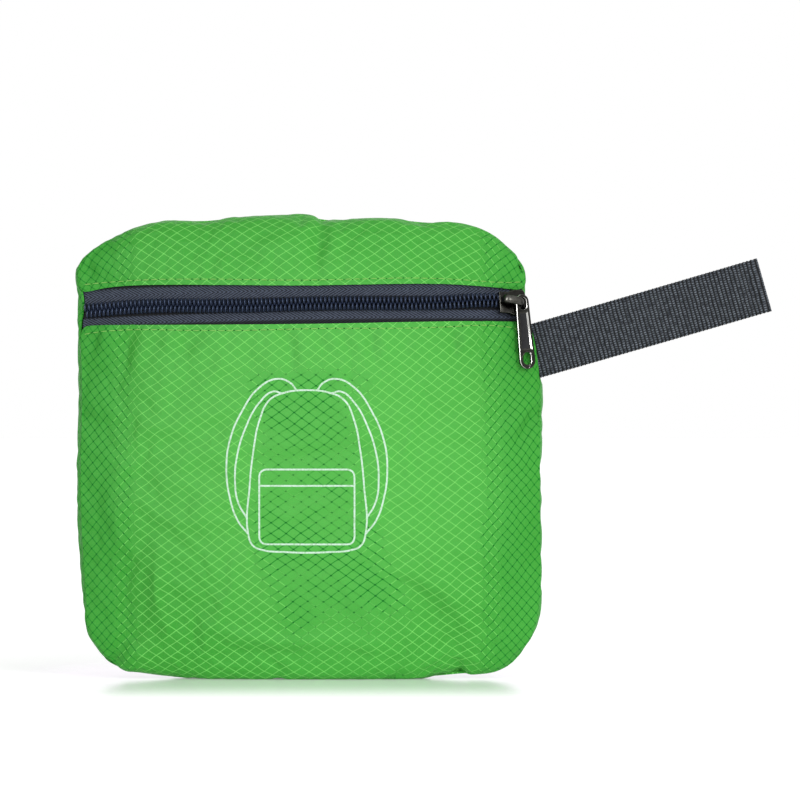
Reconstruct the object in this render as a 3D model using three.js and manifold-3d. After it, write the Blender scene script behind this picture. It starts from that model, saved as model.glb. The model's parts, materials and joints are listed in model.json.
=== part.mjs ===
// A packable backpack, folded away into its own zip pocket: a stuffed cloth pouch that stands on its
// base, with a zip across the front, a metal slider with a hanging pull, and a webbing loop sewn into
// the right side seam. Millimetres, +Z up, the front faces -Y, and the origin is the middle of the
// flat base.
import * as THREE from "three";
import { mergeVertices } from "three/addons/utils/BufferGeometryUtils.js";
import Module from "manifold-3d";

// Space between pieces that lie on or beside each other
const CLEARANCE = 0.3;

// The stuffed pouch
const POUCH_WIDTH = 176;
const POUCH_HEIGHT = 174;
const CROWN_DEPTH = 20; // how far the front bulges past its side seams
const SEAM_FORWARD = 6; // side seams to the widest plane
const BACK_DEPTH = 30; // widest plane to the back
const LEFT_SEAM_INSET = 2; // side seam inside the widest outline
const RIGHT_SEAM_INSET = 0.8;
const BASE_PRESS = 4; // how much of the stuffed form the floor presses flat
const BASE_SHIFT = 2; // origin behind the widest plane
const EDGE_POWER = 0.7; // roundness of the top, bottom and back edges
const CROWN_POWER = 2.2; // roundness of the front from side to side
const CLOTH = 1; // thickness of the cloth walls
const BAG_SEAM = 0.8; // half the thickness that the packed bag keeps at its edge
const BAG_SLACK = 0.7; // space between the packed bag and the cloth, twice this at its edges

// The zip
const ZIP_FROM_TOP = 34; // its middle, below the top
const ZIP_OPENING = 14.6; // tape seen between the two cloth edges
const TAPE_THICKNESS = 1;
const TAPE_TUCK = 3; // tape hidden under each cloth edge
const COIL_WIDTH = 2.6; // one row of the chain
const COIL_RISE = 2;

// The slider, its bridge and the pull
const SLIDER_FROM_SEAM = 4.8;
const SLIDER_LENGTH = 11;
const SLIDER_FRONT_WIDTH = 10;
const SLIDER_FLANGE = 0.6;
const SLIDER_PLATE = 1.2;
const SLIDER_SKIRT = 1.1; // how far the flanges reach down beside the chain
const SLIDER_SINK = 0.7; // how far the curved tape dips inside the slider
const POST_WIDTH = 1.6;
const POST_LENGTH = 2.6;
const POST_INSET = 0.3; // behind the lower plate's front edge
const LOWER_PLATE_SHORTER = 3;
const BRIDGE_SPAN = 7.2; // between the middles of its two posts
const BRIDGE_BAR = 1.1;
const BRIDGE_WIDTH = 2.2;
const BRIDGE_FRONT = 2.6; // front post ahead of the slider's middle
const BRIDGE_ROOM = 1.7; // height under the bar that the pull doesn't fill
const BRIDGE_ROUND = 1.6;
const PULL_LENGTH = 28;
const PULL_EYE_RADIUS = 1.5;
const PULL_EYE_LENGTH = 1.6; // straight sides of the eye
const PULL_RIM = 1.15;
const PULL_END_RADIUS = 3.2;
const PULL_THICKNESS = 1.4;
const PULL_RECESS = 0.4;
const PULL_LEAN = 9; // degrees that the pull's foot leans back to the cloth
const PULL_TILT = 3.4; // degrees that its foot swings out to the right
const CORD_HOLE_RADIUS = 1.45;
const CORD_HOLE_LENGTH = 1.8;

// The webbing loop
const LOOP_LENGTH = 90;
const LOOP_WIDTH = 20;
const LOOP_BELOW_ZIP = 17.2; // its middle where it leaves the seam
const WEBBING = 1.5;
const LOOP_SLIT = 0.4; // between its two layers
const LOOP_FOLD = 0.9; // inner radius of the fold at its far end
const LOOP_FOLD_LENGTH = 9;
const LOOP_TUCK = 4; // sewn into the seam
const LOOP_RISE = 16; // degrees above level
const LOOP_FORWARD = 12; // degrees towards the front
const LOOP_BOW = 1.5;

// Outline of the sides, from the bottom corner (up 0) to the top corner (up 1), as shares of half the width
const SIDE_OUTLINE = [
  { up: 0, left: 0.9, right: 0.91 },
  { up: 0.05, left: 0.955, right: 0.965 },
  { up: 0.12, left: 0.966, right: 0.992 },
  { up: 0.25, left: 0.984, right: 0.994 },
  { up: 0.42, left: 0.993, right: 0.991 },
  { up: 0.66, left: 0.985, right: 0.993 },
  { up: 0.8, left: 0.994, right: 0.96 },
  { up: 0.87, left: 0.982, right: 0.916 },
  { up: 0.93, left: 1, right: 0.93 },
  { up: 0.965, left: 0.982, right: 0.904 },
  { up: 1, left: 0.915, right: 0.85 },
];

// Outline of the top, from the left corner (across -1) to the right corner, as shares of the height
const TOP_OUTLINE = [
  { across: -1, top: 0.925 },
  { across: -0.93, top: 0.944 },
  { across: -0.84, top: 0.962 },
  { across: -0.74, top: 0.978 },
  { across: -0.62, top: 0.986 },
  { across: -0.45, top: 0.983 },
  { across: -0.33, top: 0.992 },
  { across: -0.1, top: 0.998 },
  { across: 0.07, top: 0.996 },
  { across: 0.16, top: 0.981 },
  { across: 0.25, top: 0.99 },
  { across: 0.45, top: 0.99 },
  { across: 0.58, top: 0.98 },
  { across: 0.7, top: 0.982 },
  { across: 0.82, top: 0.974 },
  { across: 0.93, top: 0.953 },
  { across: 1, top: 0.925 },
];

// Outline of the bottom: lift is a share of the height, press a share of the pressed depth below the floor
const BOTTOM_OUTLINE = [
  { across: -1, lift: 0.064, press: 0 },
  { across: -0.96, lift: 0.038, press: 0 },
  { across: -0.88, lift: 0.021, press: 0 },
  { across: -0.76, lift: 0.009, press: 0 },
  { across: -0.58, lift: 0.002, press: 0.1 },
  { across: -0.42, lift: 0, press: 0.8 },
  { across: -0.15, lift: 0, press: 1 },
  { across: 0.2, lift: 0, press: 1 },
  { across: 0.46, lift: 0, press: 0.8 },
  { across: 0.58, lift: 0.006, press: 0.1 },
  { across: 0.66, lift: 0.012, press: 0 },
  { across: 0.76, lift: 0.007, press: 0 },
  { across: 0.88, lift: 0.015, press: 0 },
  { across: 0.95, lift: 0.032, press: 0 },
  { across: 1, lift: 0.06, press: 0 },
];

// Course of the zip from the left seam (across -1) to the right seam: rise of the chain, and the cloth
// edges above and below the chain, as shares of the opening
const ZIP_COURSE = [
  { across: -1, rise: -0.18, above: 0.46, below: 0.36 },
  { across: -0.9, rise: -0.11, above: 0.54, below: 0.41 },
  { across: -0.7, rise: -0.05, above: 0.56, below: 0.46 },
  { across: 0, rise: 0.01, above: 0.49, below: 0.49 },
  { across: 0.6, rise: 0.06, above: 0.48, below: 0.48 },
  { across: 0.88, rise: 0.035, above: 0.41, below: 0.46 },
  { across: 1, rise: 0, above: 0.36, below: 0.44 },
];

// Folds of the front: middle, half length and half width as shares of half the pouch's width, up as a
// share of its height, turn in degrees from upright, and depth as a share of the crown
const FOLDS = [
  { name: "top notch", across: 0.05, up: 0.945, turn: -14, length: 0.13, width: 0.05, depth: 0.17 },
  { name: "upper left gather", across: -0.77, up: 0.7, turn: -22, length: 0.12, width: 0.06, depth: 0.07 },
  { name: "left gather", across: -0.5, up: 0.71, turn: -16, length: 0.11, width: 0.05, depth: 0.05 },
  { name: "middle gather", across: -0.08, up: 0.7, turn: 4, length: 0.13, width: 0.05, depth: 0.05 },
  { name: "right gather", across: 0.61, up: 0.71, turn: 0, length: 0.11, width: 0.06, depth: 0.05 },
  { name: "lower left facet", across: -0.7, up: 0.13, turn: -20, length: 0.26, width: 0.1, depth: 0.12 },
  { name: "lower right crease", across: 0.57, up: 0.12, turn: 45, length: 0.28, width: 0.055, depth: 0.11 },
  { name: "right side crease", across: 0.93, up: 0.54, turn: -60, length: 0.1, width: 0.04, depth: 0.07 },
];

// How finely the cloth is divided
const FRONT_COLUMNS = 34;
const FRONT_ROWS = 18;
const ZIP_ROWS = 3;
const ZIP_COLUMNS = 26;
const SLIDER_COLUMNS = 8;
const TOP_ROWS = 8;
const BACK_COLUMNS = 20;
const BAG_COLUMNS = 24;
const BAG_ROWS = 18;
const ARC_STEPS = 8;

const wasm = await Module();
wasm.setup();

const clamp = (x, low, high) => Math.min(Math.max(x, low), high);
const mix = (a, b, share) => a + (b - a) * share;
const radians = THREE.MathUtils.degToRad;
const signedPower = (x, power) => Math.sign(x) * Math.abs(x) ** power;

// A smooth curve through the rows of a table.
function smooth(rows, station, value) {
  const xs = rows.map((row) => row[station]);
  const ys = rows.map((row) => row[value]);
  const last = xs.length - 1;
  const slope = (i) => {
    const before = Math.max(i - 1, 0);
    const after = Math.min(i + 1, last);
    return (ys[after] - ys[before]) / (xs[after] - xs[before]);
  };
  return (x) => {
    const i = clamp(xs.findLastIndex((known) => known <= x), 0, last - 1);
    const span = xs[i + 1] - xs[i];
    const h = clamp((x - xs[i]) / span, 0, 1);
    const rise = h * h * (3 - 2 * h);
    const leaving = h * (1 - h) ** 2 * span * slope(i);
    const arriving = h * h * (h - 1) * span * slope(i + 1);
    return mix(ys[i], ys[i + 1], rise) + leaving + arriving;
  };
}

const leftEdge = smooth(SIDE_OUTLINE, "up", "left");
const rightEdge = smooth(SIDE_OUTLINE, "up", "right");
const topEdge = smooth(TOP_OUTLINE, "across", "top");
const bottomLift = smooth(BOTTOM_OUTLINE, "across", "lift");
const bottomPress = smooth(BOTTOM_OUTLINE, "across", "press");

const topHeight = (across) => topEdge(across) * POUCH_HEIGHT;
const bottomHeight = (across) => bottomLift(across) * POUCH_HEIGHT - bottomPress(across) * BASE_PRESS;

// How deep the folds are at a place on the front.
function foldDepth(x, z) {
  const half = POUCH_WIDTH / 2;
  let depth = 0;
  for (const fold of FOLDS) {
    const dx = x - fold.across * half;
    const dz = z - fold.up * POUCH_HEIGHT;
    const turn = radians(fold.turn);
    const along = (dz * Math.cos(turn) - dx * Math.sin(turn)) / (fold.length * half);
    const over = (dx * Math.cos(turn) + dz * Math.sin(turn)) / (fold.width * half);
    depth += fold.depth * CROWN_DEPTH * Math.exp(-along * along - over * over);
  }
  return depth;
}

// A point of the pouch's outer skin. round runs from -1 at the left side seam over the front to 1 at the
// right side seam, and on to 2 at the middle of the back (-2 is the same place). tilt is the angle up the
// pouch, from -90 degrees at the bottom edge to 90 at the top edge.
function skin(round, tilt) {
  const turn = round > 2 ? round - 4 : round < -2 ? round + 4 : round;
  const up = Math.sin(tilt);
  const share = (up + 1) / 2;
  const left = (-leftEdge(share) * POUCH_WIDTH) / 2;
  const right = (rightEdge(share) * POUCH_WIDTH) / 2;
  const cornerFade = 1 - up ** 8;
  const seamLeft = left + LEFT_SEAM_INSET * cornerFade;
  const seamRight = right - RIGHT_SEAM_INSET * cornerFade;
  const closing = signedPower(Math.cos(tilt), EDGE_POWER);
  const side = Math.sign(turn) || 1;

  if (Math.abs(turn) <= 1) {
    const x = mix(seamLeft, seamRight, (turn + 1) / 2);
    const z = mix(bottomHeight(turn), topHeight(turn), share);
    const crown = CROWN_DEPTH * (1 - Math.abs(turn) ** CROWN_POWER);
    const foldFade = (1 - turn ** 6) * (1 - up ** 12);
    const depth = (SEAM_FORWARD + crown - foldDepth(x, z) * foldFade) * closing;
    return new THREE.Vector3(x, -BASE_SHIFT - depth, z);
  }
  const middle = (left + right) / 2;
  const half = (right - left) / 2;
  const seam = side < 0 ? middle - seamLeft : seamRight - middle;
  const overhang = Math.acos(clamp(seam / half, -1, 1));
  const angle = (2 - Math.abs(turn)) * (Math.PI / 2 + overhang);
  const across = side * Math.sin(angle);
  const x = middle + half * across;
  const z = mix(bottomHeight(across), topHeight(across), share);
  const past = Math.cos(angle);
  const forward = past < 0 && overhang > 0 ? SEAM_FORWARD * (-past / Math.sin(overhang)) ** EDGE_POWER : 0;
  const depth = past < 0 ? -forward : BACK_DEPTH * past ** EDGE_POWER;
  return new THREE.Vector3(x, -BASE_SHIFT + depth * closing, z);
}

// The direction out of the skin at a place.
function outward(round, tilt) {
  const step = 0.02;
  const along = skin(round + step, tilt).sub(skin(round - step, tilt));
  const upwards = skin(round, tilt + step).sub(skin(round, tilt - step));
  const radial = skin(round, tilt);
  radial.set(radial.x, 0, radial.z - POUCH_HEIGHT / 2).multiplyScalar(1e-4);
  return along.cross(upwards).add(radial).normalize();
}

// The same place raised off the skin, or sunk into it, but kept on the floor's flat and on the plane in
// which the front and the back meet.
function raised(round, tilt, lift) {
  const point = skin(round, tilt).addScaledVector(outward(round, tilt), lift);
  point.z = Math.max(point.z, -Math.min(lift, 0));
  if (Math.cos(tilt) < 1e-6) point.y = -BASE_SHIFT;
  return point;
}

// The angle up the pouch of a height on its front.
function tiltAt(round, height) {
  const low = bottomHeight(round);
  const share = (height - low) / (topHeight(round) - low);
  return Math.asin(clamp(2 * share - 1, -1, 1));
}

const zipRise = smooth(ZIP_COURSE, "across", "rise");
const zipAbove = smooth(ZIP_COURSE, "across", "above");
const zipBelow = smooth(ZIP_COURSE, "across", "below");

const zipHeight = POUCH_HEIGHT - ZIP_FROM_TOP;
const zipLine = (round) => zipHeight + zipRise(round) * ZIP_OPENING;
const upperClothEdge = (round) => zipLine(round) + zipAbove(round) * ZIP_OPENING;
const lowerClothEdge = (round) => zipLine(round) - zipBelow(round) * ZIP_OPENING;

// Evenly spaced values.
function steps(from, to, count) {
  return Array.from({ length: count + 1 }, (_, i) => mix(from, to, i / count));
}

// A closed body between two grids of points, outer and inner, whose edges are joined.
function bodyBetween(outer, inner) {
  const rows = outer.length;
  const columns = outer[0].length;
  const corners = [];
  const quad = (a, b, c, d) => corners.push(a, b, c, a, c, d);
  for (let r = 0; r + 1 < rows; r += 1) {
    for (let c = 0; c + 1 < columns; c += 1) {
      quad(outer[r][c], outer[r][c + 1], outer[r + 1][c + 1], outer[r + 1][c]);
      quad(inner[r][c], inner[r + 1][c], inner[r + 1][c + 1], inner[r][c + 1]);
    }
  }
  for (let c = 0; c + 1 < columns; c += 1) {
    quad(outer[0][c], inner[0][c], inner[0][c + 1], outer[0][c + 1]);
    quad(outer[rows - 1][c + 1], inner[rows - 1][c + 1], inner[rows - 1][c], outer[rows - 1][c]);
  }
  for (let r = 0; r + 1 < rows; r += 1) {
    quad(outer[r + 1][0], inner[r + 1][0], inner[r][0], outer[r][0]);
    quad(outer[r][columns - 1], inner[r][columns - 1], inner[r + 1][columns - 1], outer[r + 1][columns - 1]);
  }
  return welded(new THREE.BufferGeometry().setFromPoints(corners));
}

// The geometry with shared vertices merged and the faces that collapsed left out.
function welded(geometry) {
  const bare = new THREE.BufferGeometry().setAttribute("position", geometry.getAttribute("position"));
  if (geometry.index) bare.setIndex(geometry.index);
  const merged = mergeVertices(bare, 1e-3);
  const kept = [];
  const index = merged.index.array;
  for (let i = 0; i < index.length; i += 3) {
    const [a, b, c] = [index[i], index[i + 1], index[i + 2]];
    if (a !== b && b !== c && a !== c) kept.push(a, b, c);
  }
  return merged.setIndex(kept);
}

// Cuts and joins, on world-space geometries.
function toSolid(geometry) {
  const merged = welded(geometry);
  return new wasm.Manifold(
    new wasm.Mesh({
      numProp: 3,
      vertProperties: new Float32Array(merged.attributes.position.array),
      triVerts: new Uint32Array(merged.index.array),
    }),
  );
}

function toGeometry(solid) {
  const mesh = solid.getMesh();
  return new THREE.BufferGeometry()
    .setAttribute("position", new THREE.BufferAttribute(mesh.vertProperties, mesh.numProp))
    .setIndex(new THREE.BufferAttribute(mesh.triVerts, 1));
}

const joined = (...geometries) => toGeometry(geometries.map(toSolid).reduce((all, next) => all.add(next)));
const cut = (from, ...tools) =>
  toGeometry(tools.map(toSolid).reduce((left, tool) => left.subtract(tool), toSolid(from)));

// Cloth laid over part of the front: at each column round the pouch, tilts(round) gives its two edges.
function frontCloth(columns, rows, tilts) {
  const grid = (lift) =>
    steps(0, 1, rows).map((row) =>
      steps(-1, 1, columns).map((round) => {
        const [low, high] = tilts(round);
        const point = raised(round, mix(low, high, row), lift);
        point.y = Math.min(point.y, -BASE_SHIFT) - CLEARANCE / 2;
        return point;
      }),
    );
  return bodyBetween(grid(0), grid(-CLOTH));
}

const frontPanel = () =>
  frontCloth(FRONT_COLUMNS, FRONT_ROWS, (round) => [-Math.PI / 2, tiltAt(round, lowerClothEdge(round))]);

const topPanel = () =>
  frontCloth(FRONT_COLUMNS, TOP_ROWS, (round) => [tiltAt(round, upperClothEdge(round)), Math.PI / 2]);

// The angles up a side seam at which the two front panels have their rows.
function seamTilts(round) {
  const low = tiltAt(round, lowerClothEdge(round));
  const high = tiltAt(round, upperClothEdge(round));
  const besideZip = steps(low, high, ZIP_ROWS).slice(1, -1);
  return [...steps(-Math.PI / 2, low, FRONT_ROWS), ...besideZip, ...steps(high, Math.PI / 2, TOP_ROWS)];
}

// The back of the pouch, which wraps round both sides to the side seams.
function backPanel() {
  const right = seamTilts(1);
  const left = seamTilts(-1);
  const grid = (lift) =>
    right.map((tilt, row) =>
      steps(0, 1, BACK_COLUMNS).map((share) => {
        const round = share > 0.5 ? 2 * share - 3 : 1 + 2 * share;
        const point = raised(round, mix(tilt, left[row], share), lift);
        point.y += CLEARANCE / 2;
        return point;
      }),
    );
  return bodyBetween(grid(0), grid(-CLOTH));
}

// The folded bag that fills the pouch, with a shallow channel behind the zip.
function packedBag() {
  const skinDepth = (tilt) => CLOTH + BAG_SLACK * (2 - Math.cos(tilt) ** EDGE_POWER);
  const channelDepth = TAPE_THICKNESS + CLEARANCE;
  const channelHalf = 0.56 * ZIP_OPENING + TAPE_TUCK + 2 * CLEARANCE;
  const channelEase = 6;
  const ahead = (round, tilt) => {
    const away = Math.abs(skin(round, tilt).z - zipLine(round)) - channelHalf;
    const share = 1 - clamp(away / channelEase, 0, 1);
    const point = raised(round, tilt, -skinDepth(tilt) - channelDepth * share);
    point.y = Math.min(point.y, -BASE_SHIFT - BAG_SEAM);
    return point;
  };
  const behind = (round, tilt) => {
    const point = raised(round, tilt, -skinDepth(tilt));
    point.y = Math.max(point.y, -BASE_SHIFT + BAG_SEAM);
    return point;
  };
  const tilts = steps(-Math.PI / 2, Math.PI / 2, BAG_ROWS);
  const front = tilts.map((tilt) => steps(-1, 1, BAG_COLUMNS).map((round) => ahead(round, tilt)));
  const back = tilts.map((tilt) =>
    steps(-1, 1, BAG_COLUMNS).map((share) => behind(share < 0 ? -2 - share : 2 - share, tilt)),
  );
  return bodyBetween(front, back);
}

const zipTilt = (round) => tiltAt(round, zipLine(round));
const zipX = (round) => skin(round, zipTilt(round)).x;

// How far round the pouch a place on the zip lies.
function roundAtX(x) {
  let round = 0;
  for (let pass = 0; pass < 30; pass += 1) round += (x - zipX(round)) / (POUCH_WIDTH / 2);
  return round;
}

const sliderX = zipX(1) - SLIDER_FROM_SEAM;
const sliderRound = roundAtX(sliderX);
const postX = sliderX + SLIDER_LENGTH / 2 - LOWER_PLATE_SHORTER - POST_LENGTH / 2;

// Something that runs along the zip. profile(round) lists its upper side, then its under side, as heights
// above the zip's middle and lifts off the skin.
function alongZip(profile) {
  const rounds = [
    ...steps(-0.997, roundAtX(postX - SLIDER_LENGTH), ZIP_COLUMNS),
    ...steps(roundAtX(postX - POST_LENGTH), 0.997, SLIDER_COLUMNS),
  ];
  const profiles = rounds.map(profile);
  const place = (round, [height, lift]) => {
    const point = raised(round, tiltAt(round, zipLine(round) + height), lift);
    point.y -= CLEARANCE / 2;
    return point;
  };
  const grid = (side) =>
    profiles[0][side].map((_, row) => rounds.map((round, i) => place(round, profiles[i][side][row])));
  return bodyBetween(grid(0), grid(1));
}

// Half the gap between the two rows of the chain, which part before the slider's post.
function chainOpening(round) {
  const parted = POST_WIDTH / 2 + 2 * CLEARANCE;
  const closed = CLEARANCE / 2;
  const share = clamp((zipX(round) - (postX - POST_LENGTH)) / (POST_LENGTH / 2), 0, 1);
  return mix(closed, parted, share);
}

const tapeTop = -CLOTH - CLEARANCE;
const coilFoot = tapeTop + CLEARANCE;
const coilTop = coilFoot + COIL_RISE;

// The tape of one side; side is 1 above the chain and -1 below it.
function zipTape(side) {
  return alongZip((round) => {
    const opening = chainOpening(round);
    const clothEdge = (side > 0 ? zipAbove(round) : zipBelow(round)) * ZIP_OPENING;
    const heights = steps(opening, clothEdge + TAPE_TUCK, 2).map((height) => side * height);
    if (side < 0) heights.reverse();
    return [tapeTop, tapeTop - TAPE_THICKNESS].map((lift) => heights.map((height) => [height, lift]));
  });
}

// One row of the chain: a rounded bar that stands for its small loops.
function zipCoil(side) {
  const share = [0, 0.3, 0.7, 1];
  const rise = [0.6, 1, 0.9, 0.35];
  return alongZip((round) => {
    const opening = chainOpening(round);
    const heights = share.map((part) => side * (opening + part * COIL_WIDTH));
    const above = heights.map((height, i) => [height, coilFoot + rise[i] * COIL_RISE]);
    const under = heights.map((height) => [height, coilFoot]);
    return side > 0 ? [above, under] : [above.reverse(), under.reverse()];
  });
}

// Place of the slider: its own X runs along the zip to the right, Z up the cloth, and -Y out of it.
function sliderPlace() {
  const ahead = roundAtX(sliderX + SLIDER_FROM_SEAM / 2);
  const behind = roundAtX(sliderX - SLIDER_LENGTH / 2);
  const along = skin(ahead, zipTilt(ahead)).sub(skin(behind, zipTilt(behind))).normalize();
  const out = outward(sliderRound, zipTilt(sliderRound));
  out.addScaledVector(along, -out.dot(along)).normalize();
  const inward = out.clone().negate();
  const up = along.clone().cross(inward);
  const seat = skin(sliderRound, zipTilt(sliderRound));
  seat.y -= CLEARANCE / 2;
  return new THREE.Matrix4().makeBasis(along, inward, up).setPosition(seat);
}

const chainHalf = COIL_WIDTH + 2.7 * CLEARANCE;
const plateFoot = coilTop + CLEARANCE;
const plateTop = plateFoot + SLIDER_PLATE;
const lowerPlateTop = tapeTop - TAPE_THICKNESS - CLEARANCE - SLIDER_SINK;

// A flat shape in the slider's X and Z, with thickness from one lift to another.
function plate(shape, fromLift, toLift) {
  const geometry = new THREE.ExtrudeGeometry(shape, {
    depth: toLift - fromLift,
    bevelEnabled: false,
    curveSegments: ARC_STEPS,
  });
  return geometry.rotateX(Math.PI / 2).translate(0, -fromLift, 0);
}

// The slider's outline from above: narrow where the closed chain leaves it, wide at its mouths.
function sliderOutline(shorter) {
  const rear = chainHalf + SLIDER_FLANGE;
  const front = SLIDER_FRONT_WIDTH / 2;
  const half = SLIDER_LENGTH / 2;
  const mouth = half - shorter;
  const widest = Math.min(0.4 * half, mouth - 1.4);
  const shape = new THREE.Shape();
  shape.moveTo(-half, -rear);
  shape.lineTo(-0.35 * half, -rear);
  shape.quadraticCurveTo(widest - 0.3 * half, -front, widest, -front);
  shape.lineTo(mouth - 1, -front);
  shape.quadraticCurveTo(mouth, -0.75 * front, mouth, 0);
  shape.quadraticCurveTo(mouth, 0.75 * front, mouth - 1, front);
  shape.lineTo(widest, front);
  shape.quadraticCurveTo(widest - 0.3 * half, front, -0.35 * half, rear);
  shape.lineTo(-half, rear);
  shape.closePath();
  return shape;
}

// The way that the chain takes through the slider, seen from above.
function chainChannel() {
  const half = SLIDER_LENGTH / 2 + 1;
  const closed = chainHalf;
  const parted = SLIDER_FRONT_WIDTH / 2 - SLIDER_FLANGE;
  const shape = new THREE.Shape();
  shape.moveTo(-half, -closed);
  shape.lineTo(-0.3 * half, -closed);
  shape.lineTo(0.4 * half, -parted);
  shape.lineTo(half, -parted);
  shape.lineTo(half, parted);
  shape.lineTo(0.4 * half, parted);
  shape.lineTo(-0.3 * half, closed);
  shape.lineTo(-half, closed);
  shape.closePath();
  return shape;
}

// The bridge's side view, in the slider's X and Y: two posts and a rounded bar.
function bridge() {
  const inside = PULL_THICKNESS + BRIDGE_ROOM;
  const top = -(plateTop + inside + BRIDGE_BAR);
  const foot = -plateTop + 0.2;
  const front = BRIDGE_FRONT + BRIDGE_BAR / 2;
  const rear = BRIDGE_FRONT - BRIDGE_SPAN - BRIDGE_BAR / 2;
  const shape = new THREE.Shape();
  shape.moveTo(rear, foot);
  shape.lineTo(rear, top + BRIDGE_ROUND);
  shape.quadraticCurveTo(rear, top, rear + BRIDGE_ROUND, top);
  shape.lineTo(front - BRIDGE_ROUND, top);
  shape.quadraticCurveTo(front, top, front, top + BRIDGE_ROUND);
  shape.lineTo(front, foot);
  shape.lineTo(front - BRIDGE_BAR, foot);
  shape.lineTo(front - BRIDGE_BAR, top + BRIDGE_BAR);
  shape.lineTo(rear + BRIDGE_BAR, top + BRIDGE_BAR);
  shape.lineTo(rear + BRIDGE_BAR, foot);
  shape.closePath();
  const settings = { depth: BRIDGE_WIDTH, bevelEnabled: false, curveSegments: 4 };
  return new THREE.ExtrudeGeometry(shape, settings).translate(0, 0, -BRIDGE_WIDTH / 2);
}

// The wedge inside the slider that parts the chain.
function slidersPost() {
  const shape = new THREE.Shape();
  const middle = SLIDER_LENGTH / 2 - LOWER_PLATE_SHORTER - POST_LENGTH / 2 - POST_INSET;
  shape.moveTo(middle - POST_LENGTH / 2, 0);
  shape.lineTo(middle, -POST_WIDTH / 2);
  shape.lineTo(middle + POST_LENGTH / 2, 0);
  shape.lineTo(middle, POST_WIDTH / 2);
  shape.closePath();
  return plate(shape, lowerPlateTop - 0.2, plateFoot + 0.2);
}

function zipSlider() {
  const upper = plate(sliderOutline(0), plateFoot - SLIDER_SKIRT, plateTop);
  const channelled = cut(upper, plate(chainChannel(), plateFoot - SLIDER_SKIRT - 1, plateFoot));
  const lower = plate(sliderOutline(LOWER_PLATE_SHORTER), lowerPlateTop - 1, lowerPlateTop);
  return joined(channelled, lower, slidersPost(), bridge());
}

// A slot with round ends, centred on x 0, between two heights.
function slot(radius, low, high) {
  const path = new THREE.Path();
  path.absarc(0, high, radius, 0, Math.PI, false);
  path.absarc(0, low, radius, Math.PI, 2 * Math.PI, false);
  path.closePath();
  return path;
}

// The pull, in a frame of its own: it hangs along -Z from the pivot at the origin.
function zipPull() {
  const eye = PULL_EYE_RADIUS + PULL_RIM;
  const endHeight = -(PULL_LENGTH - eye - PULL_END_RADIUS);
  const holeLow = endHeight - 0.2;
  const holeHigh = holeLow + CORD_HOLE_LENGTH;
  const outline = new THREE.Shape();
  outline.absarc(0, 0, eye, 0, Math.PI, false);
  outline.absarc(0, endHeight, PULL_END_RADIUS, Math.PI, 2 * Math.PI, false);
  outline.closePath();
  outline.holes.push(slot(PULL_EYE_RADIUS, -PULL_EYE_LENGTH, 0));
  outline.holes.push(slot(CORD_HOLE_RADIUS, holeLow, holeHigh));
  const recessTop = -PULL_EYE_LENGTH - PULL_EYE_RADIUS - PULL_RIM;
  const recessFoot = holeHigh + CORD_HOLE_RADIUS + PULL_RIM;
  const recess = new THREE.Shape();
  recess.moveTo(-(eye - PULL_RIM), recessTop);
  recess.lineTo(-(PULL_END_RADIUS - PULL_RIM), recessFoot);
  recess.lineTo(PULL_END_RADIUS - PULL_RIM, recessFoot);
  recess.lineTo(eye - PULL_RIM, recessTop);
  recess.closePath();
  const half = PULL_THICKNESS / 2;
  const front = plate(recess, half - PULL_RECESS, half + 1);
  const back = plate(recess, -half - 1, -half + PULL_RECESS);
  return cut(plate(outline, -half, half), front, back);
}

// Place of the pull: the slider's place, leant back to the cloth, and turned so that it hangs with its tilt.
function pullPlace(slider) {
  const pivot = new THREE.Vector3(BRIDGE_FRONT, -(plateTop + 0.7 * BRIDGE_ROOM + PULL_THICKNESS / 2), 0);
  const lean = new THREE.Matrix4().makeRotationX(radians(PULL_LEAN));
  const place = slider.clone().multiply(lean);
  const along = new THREE.Vector3().setFromMatrixColumn(place, 0);
  const up = new THREE.Vector3().setFromMatrixColumn(place, 2);
  const plumb = Math.atan2(-along.z, up.z);
  place.multiply(new THREE.Matrix4().makeRotationY(-plumb - radians(PULL_TILT)));
  return place.setPosition(pivot.applyMatrix4(slider));
}

// The webbing loop in a frame of its own: it leaves the seam along +X, with its width along Z.
function loopProfile(grow) {
  const half = LOOP_SLIT / 2 + WEBBING;
  const foldRadius = LOOP_FOLD + WEBBING;
  const foldStart = LOOP_LENGTH - LOOP_FOLD_LENGTH;
  const bow = (x) => LOOP_BOW * Math.sin((Math.PI * clamp(x, 0, LOOP_LENGTH)) / LOOP_LENGTH);
  const ease = (x) => {
    const share = clamp((x - foldStart) / (LOOP_LENGTH - foldRadius - foldStart), 0, 1);
    return share * share * (3 - 2 * share);
  };
  const side = (sign, inner) =>
    steps(-LOOP_TUCK, LOOP_LENGTH - foldRadius, 14).map((x) => {
      const straight = inner ? LOOP_SLIT / 2 : half;
      const folded = inner ? LOOP_FOLD : foldRadius;
      return new THREE.Vector2(x, sign * (mix(straight, folded, ease(x)) + grow) + bow(x));
    });
  const bend = (radius) =>
    steps(-Math.PI / 2, Math.PI / 2, ARC_STEPS).map((angle) => {
      const x = LOOP_LENGTH - foldRadius + radius * Math.cos(angle);
      return new THREE.Vector2(x, radius * Math.sin(angle) + bow(x));
    });
  const outside = [...side(-1, false), ...bend(foldRadius).slice(1, -1), ...side(1, false).reverse()];
  const inside = [...side(1, true), ...bend(LOOP_FOLD).reverse().slice(1, -1), ...side(-1, true).reverse()];
  return new THREE.Shape([...outside, ...inside]);
}

function webLoop() {
  const settings = { depth: LOOP_WIDTH, bevelEnabled: false };
  return new THREE.ExtrudeGeometry(loopProfile(0), settings).translate(0, 0, -LOOP_WIDTH / 2);
}

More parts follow.
